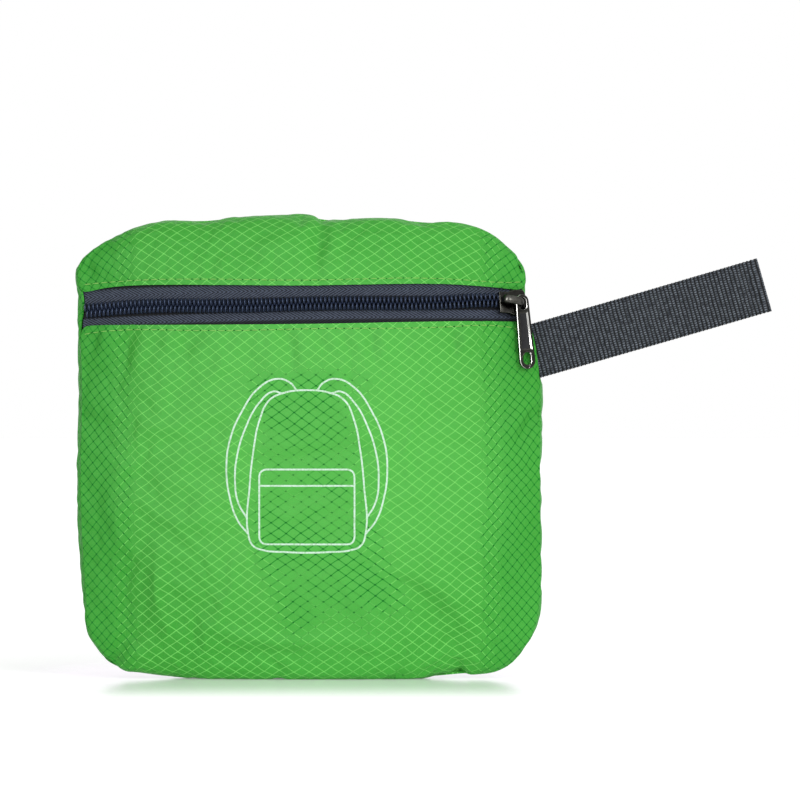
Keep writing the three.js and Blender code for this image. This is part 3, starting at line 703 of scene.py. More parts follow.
class ZipLine:
    """The zip's middle line and its tapes' face, as smooth curves fitted to the CAD nodes."""

    def __init__(self):
        coils = np.vstack([points_of(NODES[node].data) for node in COILS])
        self.left = coils[:, 0].min()
        self.right = coils[:, 0].max()
        self.middle = np.polynomial.Polynomial.fit(coils[:, 0], coils[:, 2], 7)
        tapes = tree_of(*(NODES[node] for node in TAPES))
        samples = []
        for x in np.linspace(self.left + MM, self.right - MM, 90):
            for rise in (-5 * MM, -3 * MM, 3 * MM, 5 * MM):
                hit, _ = met_from_front(tapes, x, self.middle(x) + rise)
                if hit:
                    samples.append((x, rise, hit.y))
        x, rise, y = np.array(samples).T
        terms = self.terms(x, rise)
        self.weights = np.linalg.lstsq(terms, y, rcond=None)[0]

    def terms(self, x, rise):
        across = np.atleast_1d(x) * 2 / POUCH_WIDTH
        rise = np.atleast_1d(rise) * 2 / POUCH_WIDTH
        columns = [across**power for power in range(9)]
        columns += [rise * across**power for power in range(7)]
        return np.stack(columns, axis=1)

    def point(self, x, rise):
        y = float((self.terms(x, rise) @ self.weights)[0])
        return Vector((x, y, self.middle(x) + rise))

    def place(self, x, flip=False):
        """Axes along the zip, across its row towards the row's own side, and out of the cloth."""
        along = (self.point(x + MM, 0) - self.point(x - MM, 0)).normalized()
        up = (self.point(x, MM) - self.point(x, -MM)).normalized()
        out = along.cross(up).normalized()
        up = out.cross(along)
        if flip:
            along, up = -along, -up
        place = Matrix((along, up, out)).transposed().to_4x4()
        place.translation = self.point(x, 0)
        return place


TAPES = ("zip_tape_upper", "zip_tape_lower")
COILS = ("zip_coil_upper", "zip_coil_lower")
TOOTH = (
    {"side": 0, "across": 0.97, "out": 0.3, "swell": 0.8},
    {"side": 0, "across": 0.95, "out": 0.66, "swell": 1.0},
    {"side": 0.03, "across": 0.76, "out": 0.9, "swell": 1.1},
    {"side": 0.08, "across": 0.24, "out": 0.9, "swell": 1.15},
    {"side": 0.12, "across": 0.03, "out": 0.7, "swell": 1.2},
    {"side": 0.18, "across": -0.02, "out": 0.45, "swell": 1.2},
    {"side": 0.28, "across": 0.15, "out": 0.28, "swell": 1.0},
    {"side": 0.5, "across": 0.92, "out": 0.26, "swell": 0.8},
)


def coil_rows(zip_line):
    """Both rows of the chain: bent wire teeth that reach past each other in the middle."""
    slider_mouth = Vector(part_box("zip_slider")[1]).x
    post = slider_mouth - PARTING_START
    for side, node in ((1, COILS[0]), (-1, COILS[1])):
        stations = []
        for row in TOOTH:
            spot = (row["side"] * TOOTH_PITCH * side, row["across"] * COIL_WIDTH, row["out"] * COIL_RISE)
            stations.append((*spot, row["swell"]))
        tooth = wire_through(stations, TOOTH_WIRE, 6)
        places = []
        start = zip_line.left + CHAIN_START + (0 if side > 0 else TOOTH_PITCH / 2)
        for x in np.arange(start, zip_line.right - CHAIN_END, TOOTH_PITCH):
            parted = min(max((x - post) / PARTING_RUN, 0), 1) * PARTING_GAP
            place = zip_line.place(x, flip=side < 0)
            places.append(place @ Matrix.Translation((0, parted, COIL_LIFT)))
        row = lay_copies(tooth, places, node + "_teeth")
        work_on(row)
        bpy.ops.object.shade_smooth()
        finished(row, node + "_teeth", COIL_PLASTIC, replaces=[node])


def rounded(piece, bevel, edges):
    """Rounds a metal piece's edges, which take a metal of their own."""
    edit_all(piece)
    bpy.ops.mesh.dissolve_limited(angle_limit=math.radians(4))
    leave_edit()
    piece.data.materials.append(DARK_METAL)
    piece.data.materials.append(edges)
    modifier = piece.modifiers.new("rounding", "BEVEL")
    modifier.width = bevel
    modifier.segments = 3
    modifier.limit_method = "ANGLE"
    modifier.angle_limit = math.radians(35)
    modifier.use_clamp_overlap = False
    modifier.material = 1
    apply_modifiers(piece)
    bpy.ops.object.shade_smooth_by_angle(angle=math.radians(35))


# The bridge's arch: in half thicknesses from one of its ends, and up as a share of its height
BRIDGE_ARCH = (
    {"end": "rear", "along": 1, "up": -0.02, "swell": 1.0},
    {"end": "rear", "along": 1, "up": 0.5, "swell": 1.0},
    {"end": "rear", "along": 1.3, "up": 0.8, "swell": 1.0},
    {"end": "rear", "along": 2.6, "up": 0.96, "swell": 1.04},
    {"end": "rear", "along": 5, "up": 1.0, "swell": 1.08},
    {"end": "middle", "along": 0, "up": 1.0, "swell": 1.08},
    {"end": "front", "along": -4.4, "up": 1.0, "swell": 1.08},
    {"end": "front", "along": -2.6, "up": 0.95, "swell": 1.04},
    {"end": "front", "along": -1.3, "up": 0.78, "swell": 1.0},
    {"end": "front", "along": -1, "up": 0.5, "swell": 1.0},
    {"end": "front", "along": -1, "up": -0.02, "swell": 1.0},
)


def slider_parts():
    """The slider without its bridge, and a rounded bridge in its place."""
    piece = copy_of("zip_slider", "slider_body")
    points = points_of(piece.data)
    low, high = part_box("zip_slider")
    place = zip_line.place((low[0] + high[0]) / 2)
    place.translation = Vector(points.mean(axis=0))
    local = (points - np.array(place.translation)) @ np.array(place.to_3x3())
    plate_top = local[:, 2].max() - BRIDGE_HEIGHT
    cut = place @ Vector((0, 0, plate_top + 0.05 * MM))
    edit_all(piece)
    bpy.ops.mesh.bisect(plane_co=cut, plane_no=place.col[2].to_3d(), use_fill=True, clear_outer=True)
    leave_edit()
    rounded(piece, SLIDER_BEVEL, PLATED_METAL)
    bridge_points = local[local[:, 2] > plate_top + 1 * MM]
    rear = bridge_points[:, 0].min()
    front_end = bridge_points[:, 0].max()
    ends = {"rear": rear, "middle": (rear + front_end) / 2, "front": front_end}
    across = bridge_points[:, 1].mean()
    bar = BRIDGE_THICKNESS / 2
    rise = BRIDGE_HEIGHT - bar
    stations = []
    for row in BRIDGE_ARCH:
        along = ends[row["end"]] + row["along"] * bar
        stations.append((0, along, plate_top + row["up"] * rise, row["swell"]))
    bridge = wire_through(stations, bar, 16)
    edit_all(bridge)
    wide = BRIDGE_WIDTH / BRIDGE_THICKNESS
    bpy.ops.transform.resize(value=(wide, 1, 1), center_override=(0, 0, 0))
    leave_edit()
    turned = Matrix(((0, 1, 0, 0), (-1, 0, 0, across), (0, 0, 1, 0), (0, 0, 0, 1)))
    bridge.matrix_world = place @ turned
    bpy.context.view_layer.update()
    work_on(bridge)
    bpy.ops.object.transform_apply(location=True, rotation=True, scale=True)
    finer(bridge, 1)
    bpy.ops.object.shade_smooth_by_angle(angle=math.radians(50))
    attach(piece, "pouch")
    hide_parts("zip_slider")
    finished(bridge, "slider_bridge", PLATED_METAL)


def widen_eye(piece, axis):
    """Opens the eye at the pull's end until only a thin ring is left round it."""
    mesh = piece.data
    points = points_of(mesh)
    down = np.array([0, 0, -1.0])
    down -= axis * (down @ axis)
    down /= np.linalg.norm(down)
    across = np.cross(down, axis)
    middle_across = (points @ across).mean()
    end = (points @ down).max()
    side = points @ across - middle_across
    low = end - points @ down
    eye = (low > EYE_BELOW) & (low < EYE_ABOVE) & (np.abs(side) < EYE_REACH)
    points[eye] += across * (side[eye] * (EYE_STRETCH - 1))[:, None]
    move_points(mesh, points)


def pull_tab():
    """The pull: raised rims around a dark sunken panel. Its rounded edges that face left are bright, partly
    as rubbed wear and partly as a painted highlight.
    """
    piece = copy_of("zip_pull", "pull_tab")
    axis = np.array(frame["joints"][0]["axis"])
    widen_eye(piece, axis)
    rounded(piece, PULL_BEVEL, RUBBED_AND_LIT_METAL)
    piece.data.materials.append(sunk_metal())
    piece.data.materials.append(PLATED_METAL)
    mesh = piece.data
    middle = points_of(mesh).mean(axis=0)
    centres = face_values(mesh, "center")
    facing = np.abs(face_values(mesh, "normal") @ axis)
    depth = np.abs((centres - middle) @ axis)
    sunken = (facing > 0.97) & (depth < PULL_THICKNESS / 2 - 0.5 * PULL_RECESS)
    slots = values_of(mesh.polygons, "material_index", kind=np.int32)
    slots[sunken] = 2
    # Painted highlight: only the rounded edges that face left, towards the softbox, keep the bright metal;
    # the rest take the plated metal.
    lit_side = face_values(mesh, "normal") @ np.cross(axis, (0, 0, 1))
    slots[(slots == 1) & (lit_side < 0.2)] = 3
    mesh.polygons.foreach_set("material_index", slots)
    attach(piece, "pull")
    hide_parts("zip_pull")


COIL_PLASTIC = coil_plastic()
DARK_METAL = dark_metal()
RUBBED_AND_LIT_METAL = rubbed_and_lit_metal()
PLATED_METAL = plated_metal()
TAPE_CLOTH = tape_cloth()
WEBBING = webbing_cloth()
zip_line = ZipLine()
coil_rows(zip_line)
slider_parts()
pull_tab()


# Webbing loop


def loop_place():
    """Axes along the loop, through it and across it, from the seam that it leaves."""
    forward = math.radians(LOOP_FORWARD)
    rise = math.radians(LOOP_RISE)
    level = math.cos(rise)
    along = Vector((level * math.cos(forward), -level * math.sin(forward), math.sin(rise)))
    through = Vector((math.sin(forward), math.cos(forward), 0))
    across = along.cross(through)
    points = points_of(NODES["web_loop"].data)
    reach = points @ np.array(along)
    root = points[reach < reach.min() + 0.05 * MM].mean(axis=0)
    place = Matrix((along, through, across)).transposed().to_4x4()
    place.translation = Vector(root) + LOOP_TUCK * along
    return place


def loop_path(count):
    """Evenly spaced points of the webbing's middle: out along the front, round the fold and back."""
    inner = LOOP_SLIT / 2 + WEBBING_THICKNESS / 2
    fold = LOOP_FOLD + WEBBING_THICKNESS / 2
    straight_end = LOOP_LENGTH - LOOP_FOLD - WEBBING_THICKNESS
    xs = np.linspace(-LOOP_TUCK, straight_end, 60)
    fold_start = LOOP_LENGTH - LOOP_FOLD_LENGTH
    share = np.clip((xs - fold_start) / (straight_end - fold_start), 0, 1)
    half = inner + (fold - inner) * share * share * (3 - 2 * share)
    bow = LOOP_BOW * np.sin(np.pi * np.clip(xs, 0, LOOP_LENGTH) / LOOP_LENGTH)
    angles = np.linspace(-math.pi / 2, math.pi / 2, 24)[1:-1]
    round_x = straight_end + fold * np.cos(angles)
    round_y = fold * np.sin(angles) + LOOP_BOW * np.sin(np.pi * round_x / LOOP_LENGTH)
    x = np.concatenate([xs, round_x, xs[::-1]])
    y = np.concatenate([-half + bow, round_y, (half + bow)[::-1]])
    run = np.concatenate([[0], np.cumsum(np.hypot(np.diff(x), np.diff(y)))])
    even = np.linspace(0, run[-1], count)
    return np.interp(even, run, x), np.interp(even, run, y), even


def webbing_strip():
    """One strip of woven webbing with raised crosswise ribs, folded double."""
    strip_length = loop_path(2)[2][-1]
    columns = int(strip_length / RIB_PITCH) * RIB_STEPS
    deselect()
    bpy.ops.mesh.primitive_grid_add(x_subdivisions=columns, y_subdivisions=STRIP_ROWS, size=1)
    piece = bpy.context.active_object
    mesh = piece.data
    flat = points_of(mesh)
    xs, ys, runs = loop_path(columns + 1)
    column = np.rint((flat[:, 0] + 0.5) * columns).astype(int)
    across = flat[:, 1] * LOOP_WIDTH
    slope_x = np.gradient(xs)
    slope_y = np.gradient(ys)
    length = np.hypot(slope_x, slope_y)
    normal_x = (slope_y / length)[column]
    normal_y = (-slope_x / length)[column]
    run = runs[column]
    weft = np.abs(np.sin(np.pi * run / RIB_PITCH))
    cord = np.abs(np.sin(np.pi * across / CORD_PITCH))
    height = RIB_DEPTH * (weft * (0.7 + 0.3 * cord) - 0.5)
    edge = np.clip((LOOP_WIDTH / 2 - np.abs(across)) / SELVAGE, 0, 1)
    height *= edge
    selvage = SELVAGE_WAVE * (1 - edge) * np.sin(2 * np.pi * run / RIB_PITCH)
    across += np.sign(across) * selvage
    local = np.stack([xs[column] + normal_x * height, ys[column] + normal_y * height, across], axis=1)
    place = loop_place()
    turn = np.array(place.to_3x3())
    move_points(mesh, local @ turn.T + np.array(place.translation))
    layer = mesh.uv_layers.new(name="weave")
    corner = values_of(mesh.loops, "vertex_index", kind=int)
    layer.data.foreach_set("uv", np.stack([run, across], axis=1)[corner].ravel())
    thicken(piece, WEBBING_THICKNESS - RIB_DEPTH, offset=0)
    bpy.ops.object.shade_smooth_by_angle(angle=math.radians(50))
    return finished(piece, "webbing_strip", WEBBING, replaces=["web_loop"])


webbing_strip()


# Cloth panels


# Folds that the stuffing and the seams press into the cloth: the middle across, as a share of half the
# width, and up, as a share of the height; half the length and half the width as shares of half the
# width; the turn in degrees from upright, to the left; the depth as a share of the deepest fold, below
# zero for a ridge; and how far the cloth rises beside it, on the right (above zero) or on the left
FRONT_CREASES = [
    {"across": 0.05, "up": 0.95, "length": 0.15, "width": 0.05, "turn": -18, "depth": 0.6, "bank": 0.7},
    {"across": 0.91, "up": 0.885, "length": 0.08, "width": 0.045, "turn": -40, "depth": 0.5, "bank": -0.4},
    {"across": -0.95, "up": 0.88, "length": 0.08, "width": 0.05, "turn": 30, "depth": 0.4, "bank": 0.4},
    {"across": -0.32, "up": 0.925, "length": 0.16, "width": 0.08, "turn": -68, "depth": 0.22, "bank": 0.3},
    {"across": 0.34, "up": 0.905, "length": 0.12, "width": 0.1, "turn": 80, "depth": 0.2, "bank": 0.2},
    {"across": 0.68, "up": 0.93, "length": 0.14, "width": 0.07, "turn": 62, "depth": 0.2, "bank": -0.3},
    {"across": -0.91, "up": 0.735, "length": 0.11, "width": 0.04, "turn": -30, "depth": 0.5, "bank": 0.5},
    {"across": -0.76, "up": 0.715, "length": 0.13, "width": 0.042, "turn": -21, "depth": 0.55, "bank": 0.45},
    {"across": -0.63, "up": 0.73, "length": 0.08, "width": 0.035, "turn": -12, "depth": 0.22, "bank": 0.3},
    {"across": -0.51, "up": 0.715, "length": 0.13, "width": 0.042, "turn": -36, "depth": 0.42, "bank": 0.4},
    {"across": -0.34, "up": 0.735, "length": 0.08, "width": 0.04, "turn": -10, "depth": 0.2, "bank": 0.3},
    {"across": -0.2, "up": 0.735, "length": 0.07, "width": 0.035, "turn": 8, "depth": 0.16, "bank": 0.3},
    {"across": -0.085, "up": 0.72, "length": 0.13, "width": 0.042, "turn": 5, "depth": 0.45, "bank": 0.5},
    {"across": 0.05, "up": 0.73, "length": 0.09, "width": 0.035, "turn": 22, "depth": 0.3, "bank": 0.35},
    {"across": 0.16, "up": 0.735, "length": 0.07, "width": 0.035, "turn": 6, "depth": 0.24, "bank": 0.3},
    {"across": 0.28, "up": 0.72, "length": 0.12, "width": 0.042, "turn": 10, "depth": 0.42, "bank": 0.5},
    {"across": 0.43, "up": 0.735, "length": 0.08, "width": 0.035, "turn": -6, "depth": 0.2, "bank": 0.3},
    {"across": 0.61, "up": 0.725, "length": 0.11, "width": 0.042, "turn": 14, "depth": 0.42, "bank": 0.55},
    {"across": 0.76, "up": 0.735, "length": 0.07, "width": 0.035, "turn": 4, "depth": 0.2, "bank": 0.3},
    {"across": -0.92, "up": 0.555, "length": 0.15, "width": 0.06, "turn": 42, "depth": 0.6, "bank": 0.4},
    {"across": 0.94, "up": 0.545, "length": 0.15, "width": 0.055, "turn": -48, "depth": 0.75, "bank": -0.6},
    {"across": 0.9, "up": 0.38, "length": 0.2, "width": 0.09, "turn": 12, "depth": 0.3, "bank": -0.3},
    {"across": -0.9, "up": 0.33, "length": 0.22, "width": 0.08, "turn": -14, "depth": 0.4, "bank": 0.4},
    {"across": -0.745, "up": 0.2, "length": 0.26, "width": 0.13, "turn": -21, "depth": 0.85, "bank": 0.2},
    {"across": -0.62, "up": 0.19, "length": 0.26, "width": 0.07, "turn": 12, "depth": -0.65, "bank": 0.0},
    {"across": -0.8, "up": 0.06, "length": 0.14, "width": 0.06, "turn": -50, "depth": 0.5, "bank": 0.4},
    {"across": 0.52, "up": 0.135, "length": 0.38, "width": 0.11, "turn": 47, "depth": 0.62, "bank": 0.8},
    {"across": 0.74, "up": 0.1, "length": 0.2, "width": 0.06, "turn": 30, "depth": 0.3, "bank": 0.3},
    {"across": -0.2, "up": 0.05, "length": 0.32, "width": 0.05, "turn": 88, "depth": 0.3, "bank": 0.2},
    {"across": 0.25, "up": 0.06, "length": 0.2, "width": 0.05, "turn": 80, "depth": 0.25, "bank": 0.2},
    {"across": -0.14, "up": 0.02, "length": 0.07, "width": 0.05, "turn": 10, "depth": 0.4, "bank": 0.3},
    {"across": 0.63, "up": 0.02, "length": 0.07, "width": 0.05, "turn": 20, "depth": 0.6, "bank": 0.3},
    {"across": 0.62, "up": 0.5, "length": 0.3, "width": 0.14, "turn": 24, "depth": 0.16, "bank": 0.2},
    {"across": -0.62, "up": 0.45, "length": 0.3, "width": 0.14, "turn": -12, "depth": 0.16, "bank": 0.2},
]
BACK_CREASES = [
    {"across": 0.5, "up": 0.12, "length": 0.34, "width": 0.09, "turn": 52, "depth": 0.8, "bank": 0.5},
    {"across": -0.55, "up": 0.14, "length": 0.32, "width": 0.08, "turn": -44, "depth": 0.8, "bank": -0.5},
    {"across": 0.62, "up": 0.86, "length": 0.28, "width": 0.08, "turn": -50, "depth": 0.7, "bank": 0.5},
    {"across": -0.66, "up": 0.84, "length": 0.26, "width": 0.08, "turn": 46, "depth": 0.7, "bank": -0.5},
    {"across": 0.1, "up": 0.9, "length": 0.2, "width": 0.07, "turn": 14, "depth": 0.5, "bank": 0.4},
    {"across": -0.15, "up": 0.55, "length": 0.5, "width": 0.16, "turn": 62, "depth": 0.35, "bank": 0.3},
    {"across": 0.8, "up": 0.5, "length": 0.26, "width": 0.08, "turn": -24, "depth": 0.5, "bank": -0.4},
    {"across": -0.84, "up": 0.46, "length": 0.24, "width": 0.08, "turn": 28, "depth": 0.5, "bank": 0.4},
    {"across": 0.05, "up": 0.08, "length": 0.2, "width": 0.06, "turn": 76, "depth": 0.4, "bank": 0.3},
]


def crease(piece, creases):
    """Presses the folds into a sheet: a sharp valley, with a soft bank beside it."""
    mesh = piece.data
    points = points_of(mesh)
    normals = values_of(mesh.vertex_normals, "vector", 3)
    half = POUCH_WIDTH / 2
    height = np.zeros(len(points))
    from_slot = np.abs(points[:, 2] - zip_line.middle(points[:, 0])) - CREASE_CLEAR
    free = np.where(points[:, 1] < 0, np.clip(from_slot / CREASE_FADE, CREASE_LEAST, 1), 1)
    for fold in creases:
        turn = math.radians(fold["turn"])
        dx = points[:, 0] - fold["across"] * half
        dz = points[:, 2] - fold["up"] * POUCH_HEIGHT
        along = (dz * math.cos(turn) - dx * math.sin(turn)) / (fold["length"] * half)
        over = (dx * math.cos(turn) + dz * math.sin(turn)) / (fold["width"] * half)
        over += 0.35 * np.sin(2.6 * along + 7 * fold["across"])
        fade = np.clip(1 - along**2, 0, 1) ** 1.5
        valley = np.clip(1 - np.abs(over), 0, 1) ** 1.6
        beside = over * np.sign(fold["bank"] or 1) - 1.2
        bank = abs(fold["bank"]) * np.exp(-(beside**2) * 1.6)
        height += fade * abs(fold["depth"]) * (bank - free * valley * np.sign(fold["depth"]))
    move_points(mesh, points + normals * (height * FOLD_DEPTH)[:, None])


def outer_sheet(node, name):
    """The outer skin of a cloth panel, as one open sheet of quads."""
    piece = copy_of(node, name)
    mesh = piece.data
    mesh.uv_layers.new(name="cloth")
    centres = face_values(mesh, "center")
    normals = face_values(mesh, "normal")
    inset = np.array([0.3 * POUCH_WIDTH, 0, 0.32 * POUCH_HEIGHT])
    middle = np.array([0, -2 * MM, POUCH_HEIGHT / 2])
    core = np.clip(centres, middle - inset, middle + inset)
    outward = centres - core
    outward /= np.linalg.norm(outward, axis=1)[:, None]
    facing = (outward * normals).sum(axis=1)
    select_faces(mesh, facing > 0.9)
    edit(piece)
    bpy.ops.mesh.faces_select_linked_flat(sharpness=math.radians(50))
    leave_edit()
    chosen = values_of(mesh.polygons, "select", kind=bool)
    inner_side = -1 if node == "back_panel" else 1
    rim = normals[:, 1] * inner_side > 0.55
    select_faces(mesh, chosen & ~rim)
    edit(piece)
    bpy.ops.mesh.select_all(action="INVERT")
    bpy.ops.mesh.delete(type="FACE")
    bpy.ops.mesh.select_all(action="SELECT")
    bpy.ops.mesh.remove_doubles(threshold=0.3 * MM)
    bpy.ops.mesh.select_all(action="SELECT")
    bpy.ops.mesh.tris_convert_to_quads(face_threshold=math.radians(35), shape_threshold=math.radians(75))
    bpy.ops.mesh.select_all(action="SELECT")
    bpy.ops.uv.unwrap(method="MINIMUM_STRETCH", margin=0)
    leave_edit()
    measure_cloth(piece)
    return piece


def measure_cloth(piece):
    """Turns and scales the unwrapped cloth to its real size, upright as seen from its own side."""
    mesh = piece.data
    layer = mesh.uv_layers.active
    layer.name = "cloth"
    flat = values_of(layer.data, "uv", 2)
    corner = values_of(mesh.loops, "vertex_index", kind=int)
    solid = points_of(mesh)[corner][:, [0, 2]]
    central = np.abs(solid[:, 0]) < 0.35 * POUCH_WIDTH
    from_plane = flat[central, 0] + 1j * flat[central, 1]
    to_plane = solid[central, 0] + 1j * solid[central, 1]
    from_middle = from_plane.mean()
    to_middle = to_plane.mean()
    fits = []
    for mirrored in (False, True):
        source = from_plane - from_middle
        source = source.conj() if mirrored else source
        turn = (source.conj() @ (to_plane - to_middle)) / (source.conj() @ source)
        error = np.abs(source * turn - (to_plane - to_middle)).sum()
        fits.append((error, mirrored, turn))
    _, mirrored, turn = min(fits, key=lambda fit: fit[0])
    source = flat[:, 0] + 1j * flat[:, 1] - from_middle
    source = source.conj() if mirrored else source
    placed = source * turn + to_middle
    layer.data.foreach_set("uv", np.column_stack([placed.real, placed.imag]).ravel())


def on_edge(piece):
    """Which vertices of an open sheet lie on its edge."""
    mesh = piece.data
    ends = values_of(mesh.edges, "vertices", 2, int)
    used = np.bincount(values_of(mesh.loops, "edge_index", kind=int), minlength=len(ends))
    edge = np.zeros(len(mesh.vertices), dtype=bool)
    edge[ends[used == 1].ravel()] = True
    return edge


def hold(piece, strengths):
    group = piece.vertex_groups.new(name="held")
    for index, strength in enumerate(strengths):
        group.add([index], float(strength), "REPLACE")


def crumple(piece, grip):
    """Lets a sheet with a little spare cloth settle between its sewn edges under the stuffing's push.
    grip gives how firmly each vertex keeps its place."""
    start = points_of(piece.data)
    hold(piece, grip)
    work_on(piece)
    cloth = piece.modifiers.new("cloth", "CLOTH")
    settings = cloth.settings
    settings.quality = 6
    settings.mass = 0.15
    settings.tension_stiffness = 20
    settings.compression_stiffness = 20
    settings.shear_stiffness = 8
    settings.bending_stiffness = 0.02
    settings.vertex_group_mass = "held"
    settings.pin_stiffness = 0.6
    settings.shrink_min = -SLACK
    settings.use_pressure = True
    settings.uniform_pressure_force = 0.6
    settings.effector_weights.gravity = 0
    cloth.collision_settings.use_collision = False
    scene = bpy.context.scene
    for frame_number in range(1, CLOTH_FRAMES + 1):
        scene.frame_set(frame_number)
    bpy.ops.object.modifier_apply(modifier="cloth")
    scene.frame_set(1)
    moved = points_of(piece.data) - start
    length = np.linalg.norm(moved, axis=1)[:, None]
    capped = WRINKLE_CAP * np.tanh(length / WRINKLE_CAP)
    points = start + moved * capped / np.maximum(length, 1e-9)
    points[:, 2] = np.maximum(points[:, 2], 0)
    move_points(piece.data, points)


def hem(piece, zip_line, side):
    """Puffs the folded edge beside the zip and sinks the stitch line. side is 1 above the zip and -1
    below it. Returns the edge's height as a curve."""
    mesh = piece.data
    points = points_of(mesh)
    rise = (points[:, 2] - zip_line.middle(points[:, 0])) * side
    border = on_edge(piece) & (rise > 4 * MM) & (rise < 10 * MM) & (points[:, 1] < -4 * MM)
    border &= np.abs(points[:, 0]) < 0.98 * POUCH_WIDTH / 2
    edge = np.polynomial.Polynomial.fit(points[border, 0], points[border, 2], 7)
    inside = (points[:, 2] - edge(points[:, 0])) * side
    front = np.clip((-points[:, 1] - 4 * MM) / (3 * MM), 0, 1)
    puff = HEM_PUFF * np.sin(np.clip(inside / HEM, 0, 1) * np.pi)
    tug = 0.75 + 0.25 * np.cos(2 * np.pi * points[:, 0] / STITCH_PITCH)
    groove = HEM_GROOVE * np.exp(-(((inside - HEM) / (0.6 * MM)) ** 2)) * tug
    points[:, 1] -= (puff - groove) * front
    move_points(mesh, points)
    return edge


def cloth_panel(node, name, creases, zip_side=0):
    """A panel of the pouch. Gives the finished piece, and the curve of its edge beside the zip."""
    piece = outer_sheet(node, name)
    finer(piece, 2)
    crumple(piece, np.where(on_edge(piece), 1.0, INNER_GRIP))
    crease(piece, creases)
    finer(piece, 1)
    edge = hem(piece, zip_line, zip_side) if zip_side else None
    points = points_of(piece.data)
    points[:, 2] = np.maximum(points[:, 2], 0)
    move_points(piece.data, points)
    thicken(piece, CLOTH_WALL, quality=True)
    bpy.ops.object.shade_smooth_by_angle(angle=math.radians(40))
    finished(piece, name, RIPSTOP, replaces=[node])
    return piece, edge


# Packed bag, seen only as a shade behind the seams


def packed_cloth():
    piece = copy_of("packed_bag", "packed_cloth")
    inward = piece.modifiers.new("inward", "DISPLACE")
    inward.strength = -BAG_INSET
    inward.mid_level = 0
    apply_modifiers(piece)
    points = points_of(piece.data)
    points[:, 2] = np.maximum(points[:, 2], 1.5 * MM)
    move_points(piece.data, points)
    mesh = piece.data
    layer = mesh.uv_layers.new(name="cloth")
    corner = values_of(mesh.loops, "vertex_index", kind=int)
    layer.data.foreach_set("uv", points[corner][:, [0, 2]].ravel())
    bpy.ops.object.shade_smooth()
    return finished(piece, "packed_cloth", RIPSTOP, replaces=["packed_bag"])


RIPSTOP = ripstop()
front, lower_edge = cloth_panel("front_panel", "front_cloth", FRONT_CREASES, -1)
top, upper_edge = cloth_panel("top_panel", "top_cloth", FRONT_CREASES, 1)
back, _ = cloth_panel("back_panel", "back_cloth", BACK_CREASES)
packed_cloth()


# Stitches beside the zip


# One stitch, along in shares of half its length
STITCH = (
    {"along": -1, "out": -0.14 * MM, "swell": 0.6},
    {"along": -0.7, "out": 0.05 * MM, "swell": 1.0},
    {"along": 0, "out": 0.1 * MM, "swell": 1.1},
    {"along": 0.7, "out": 0.05 * MM, "swell": 1.0},
    {"along": 1, "out": -0.14 * MM, "swell": 0.6},
)


def stitch_row(cloth, edge, side, name):
    """Short stitches along the hem, each lying in the groove that it pulls into the cloth."""
    tree = tree_of(cloth)
    half = STITCH_LENGTH / 2
    stations = [(0, row["along"] * half, row["out"], row["swell"]) for row in STITCH]
    stitch = wire_through(stations, STITCH_THICKNESS / 2, 6)

    def on_cloth(x):
        return met_from_front(tree, x, edge(x) + side * HEM)

    deselect()
    # Painted shade: a dark disc sunk into the cloth between stitches stands in for the shade inside a needle
    # hole.
    bpy.ops.mesh.primitive_cylinder_add(vertices=8, radius=NEEDLE_HOLE, depth=HOLE_DEPTH)
    hole = bpy.context.active_object
    places = []
    holes = []
    for x in np.arange(zip_line.left + STITCH_START, zip_line.right - STITCH_END, STITCH_PITCH):
        spot, normal = on_cloth(x)
        before, _ = on_cloth(x - half)
        after, _ = on_cloth(x + half)
        if not (spot and before and after):
            continue
        along = (after - before).normalized()
        out = (normal - along * normal.dot(along)).normalized()
        place = Matrix((along.cross(out), along, out)).transposed().to_4x4()
        place.translation = (before + after) / 2 + out * STITCH_LIFT
        places.append(place)
        between, outward = on_cloth(x + STITCH_PITCH / 2)
        if between:
            turn = outward.to_track_quat("Z", "Y").to_matrix().to_4x4()
            turn.translation = between - outward * HOLE_SINK
            holes.append(turn)
    row = lay_copies(stitch, places, name)
    work_on(row)
    bpy.ops.object.shade_smooth()
    finished(row, name, THREAD)
    finished(lay_copies(hole, holes, name + "_holes"), name + "_holes", HOLE_SHADE)


THREAD = green_thread()
# Painted shade for the needle holes: a dark green that stands in for the shade inside them.
HOLE_SHADE = Shader("painted_needle_hole_shade", srgb(12, 62, 20), 0.9, Specular_IOR_Level=0.1).material
stitch_row(front, lower_edge, -1, "lower_topstitch")
stitch_row(top, upper_edge, 1, "upper_topstitch")


# Print: a plain line drawing of a rucksack

# Half of each line, as shares of the drawing's half width and of its height
PRINT_BODY = [
    {"across": 0, "up": 0},
    {"across": 0.28, "up": 0.004},
    {"across": 0.54, "up": 0.014},
    {"across": 0.67, "up": 0.04},
    {"across": 0.73, "up": 0.11},
    {"across": 0.71, "up": 0.39},
    {"across": 0.66, "up": 0.6},
    {"across": 0.59, "up": 0.76},
    {"across": 0.46, "up": 0.88},
    {"across": 0.28, "up": 0.92},
    {"across": 0, "up": 0.935},
]
PRINT_STRAP_OUTSIDE = [
    {"across": 0.13, "up": 0.935},
    {"across": 0.2, "up": 0.975},
    {"across": 0.36, "up": 1},
    {"across": 0.59, "up": 0.95},
    {"across": 0.81, "up": 0.81},
    {"across": 0.955, "up": 0.65},
    {"across": 1, "up": 0.49},
    {"across": 0.955, "up": 0.31},
    {"across": 0.86, "up": 0.185},
    {"across": 0.735, "up": 0.11},
]
PRINT_STRAP_INSIDE = [
    {"across": 0.31, "up": 0.917},
    {"across": 0.42, "up": 0.927},
    {"across": 0.595, "up": 0.86},
    {"across": 0.76, "up": 0.72},
    {"across": 0.862, "up": 0.57},
    {"across": 0.893, "up": 0.43},
    {"across": 0.855, "up": 0.29},
    {"across": 0.74, "up": 0.195},
]
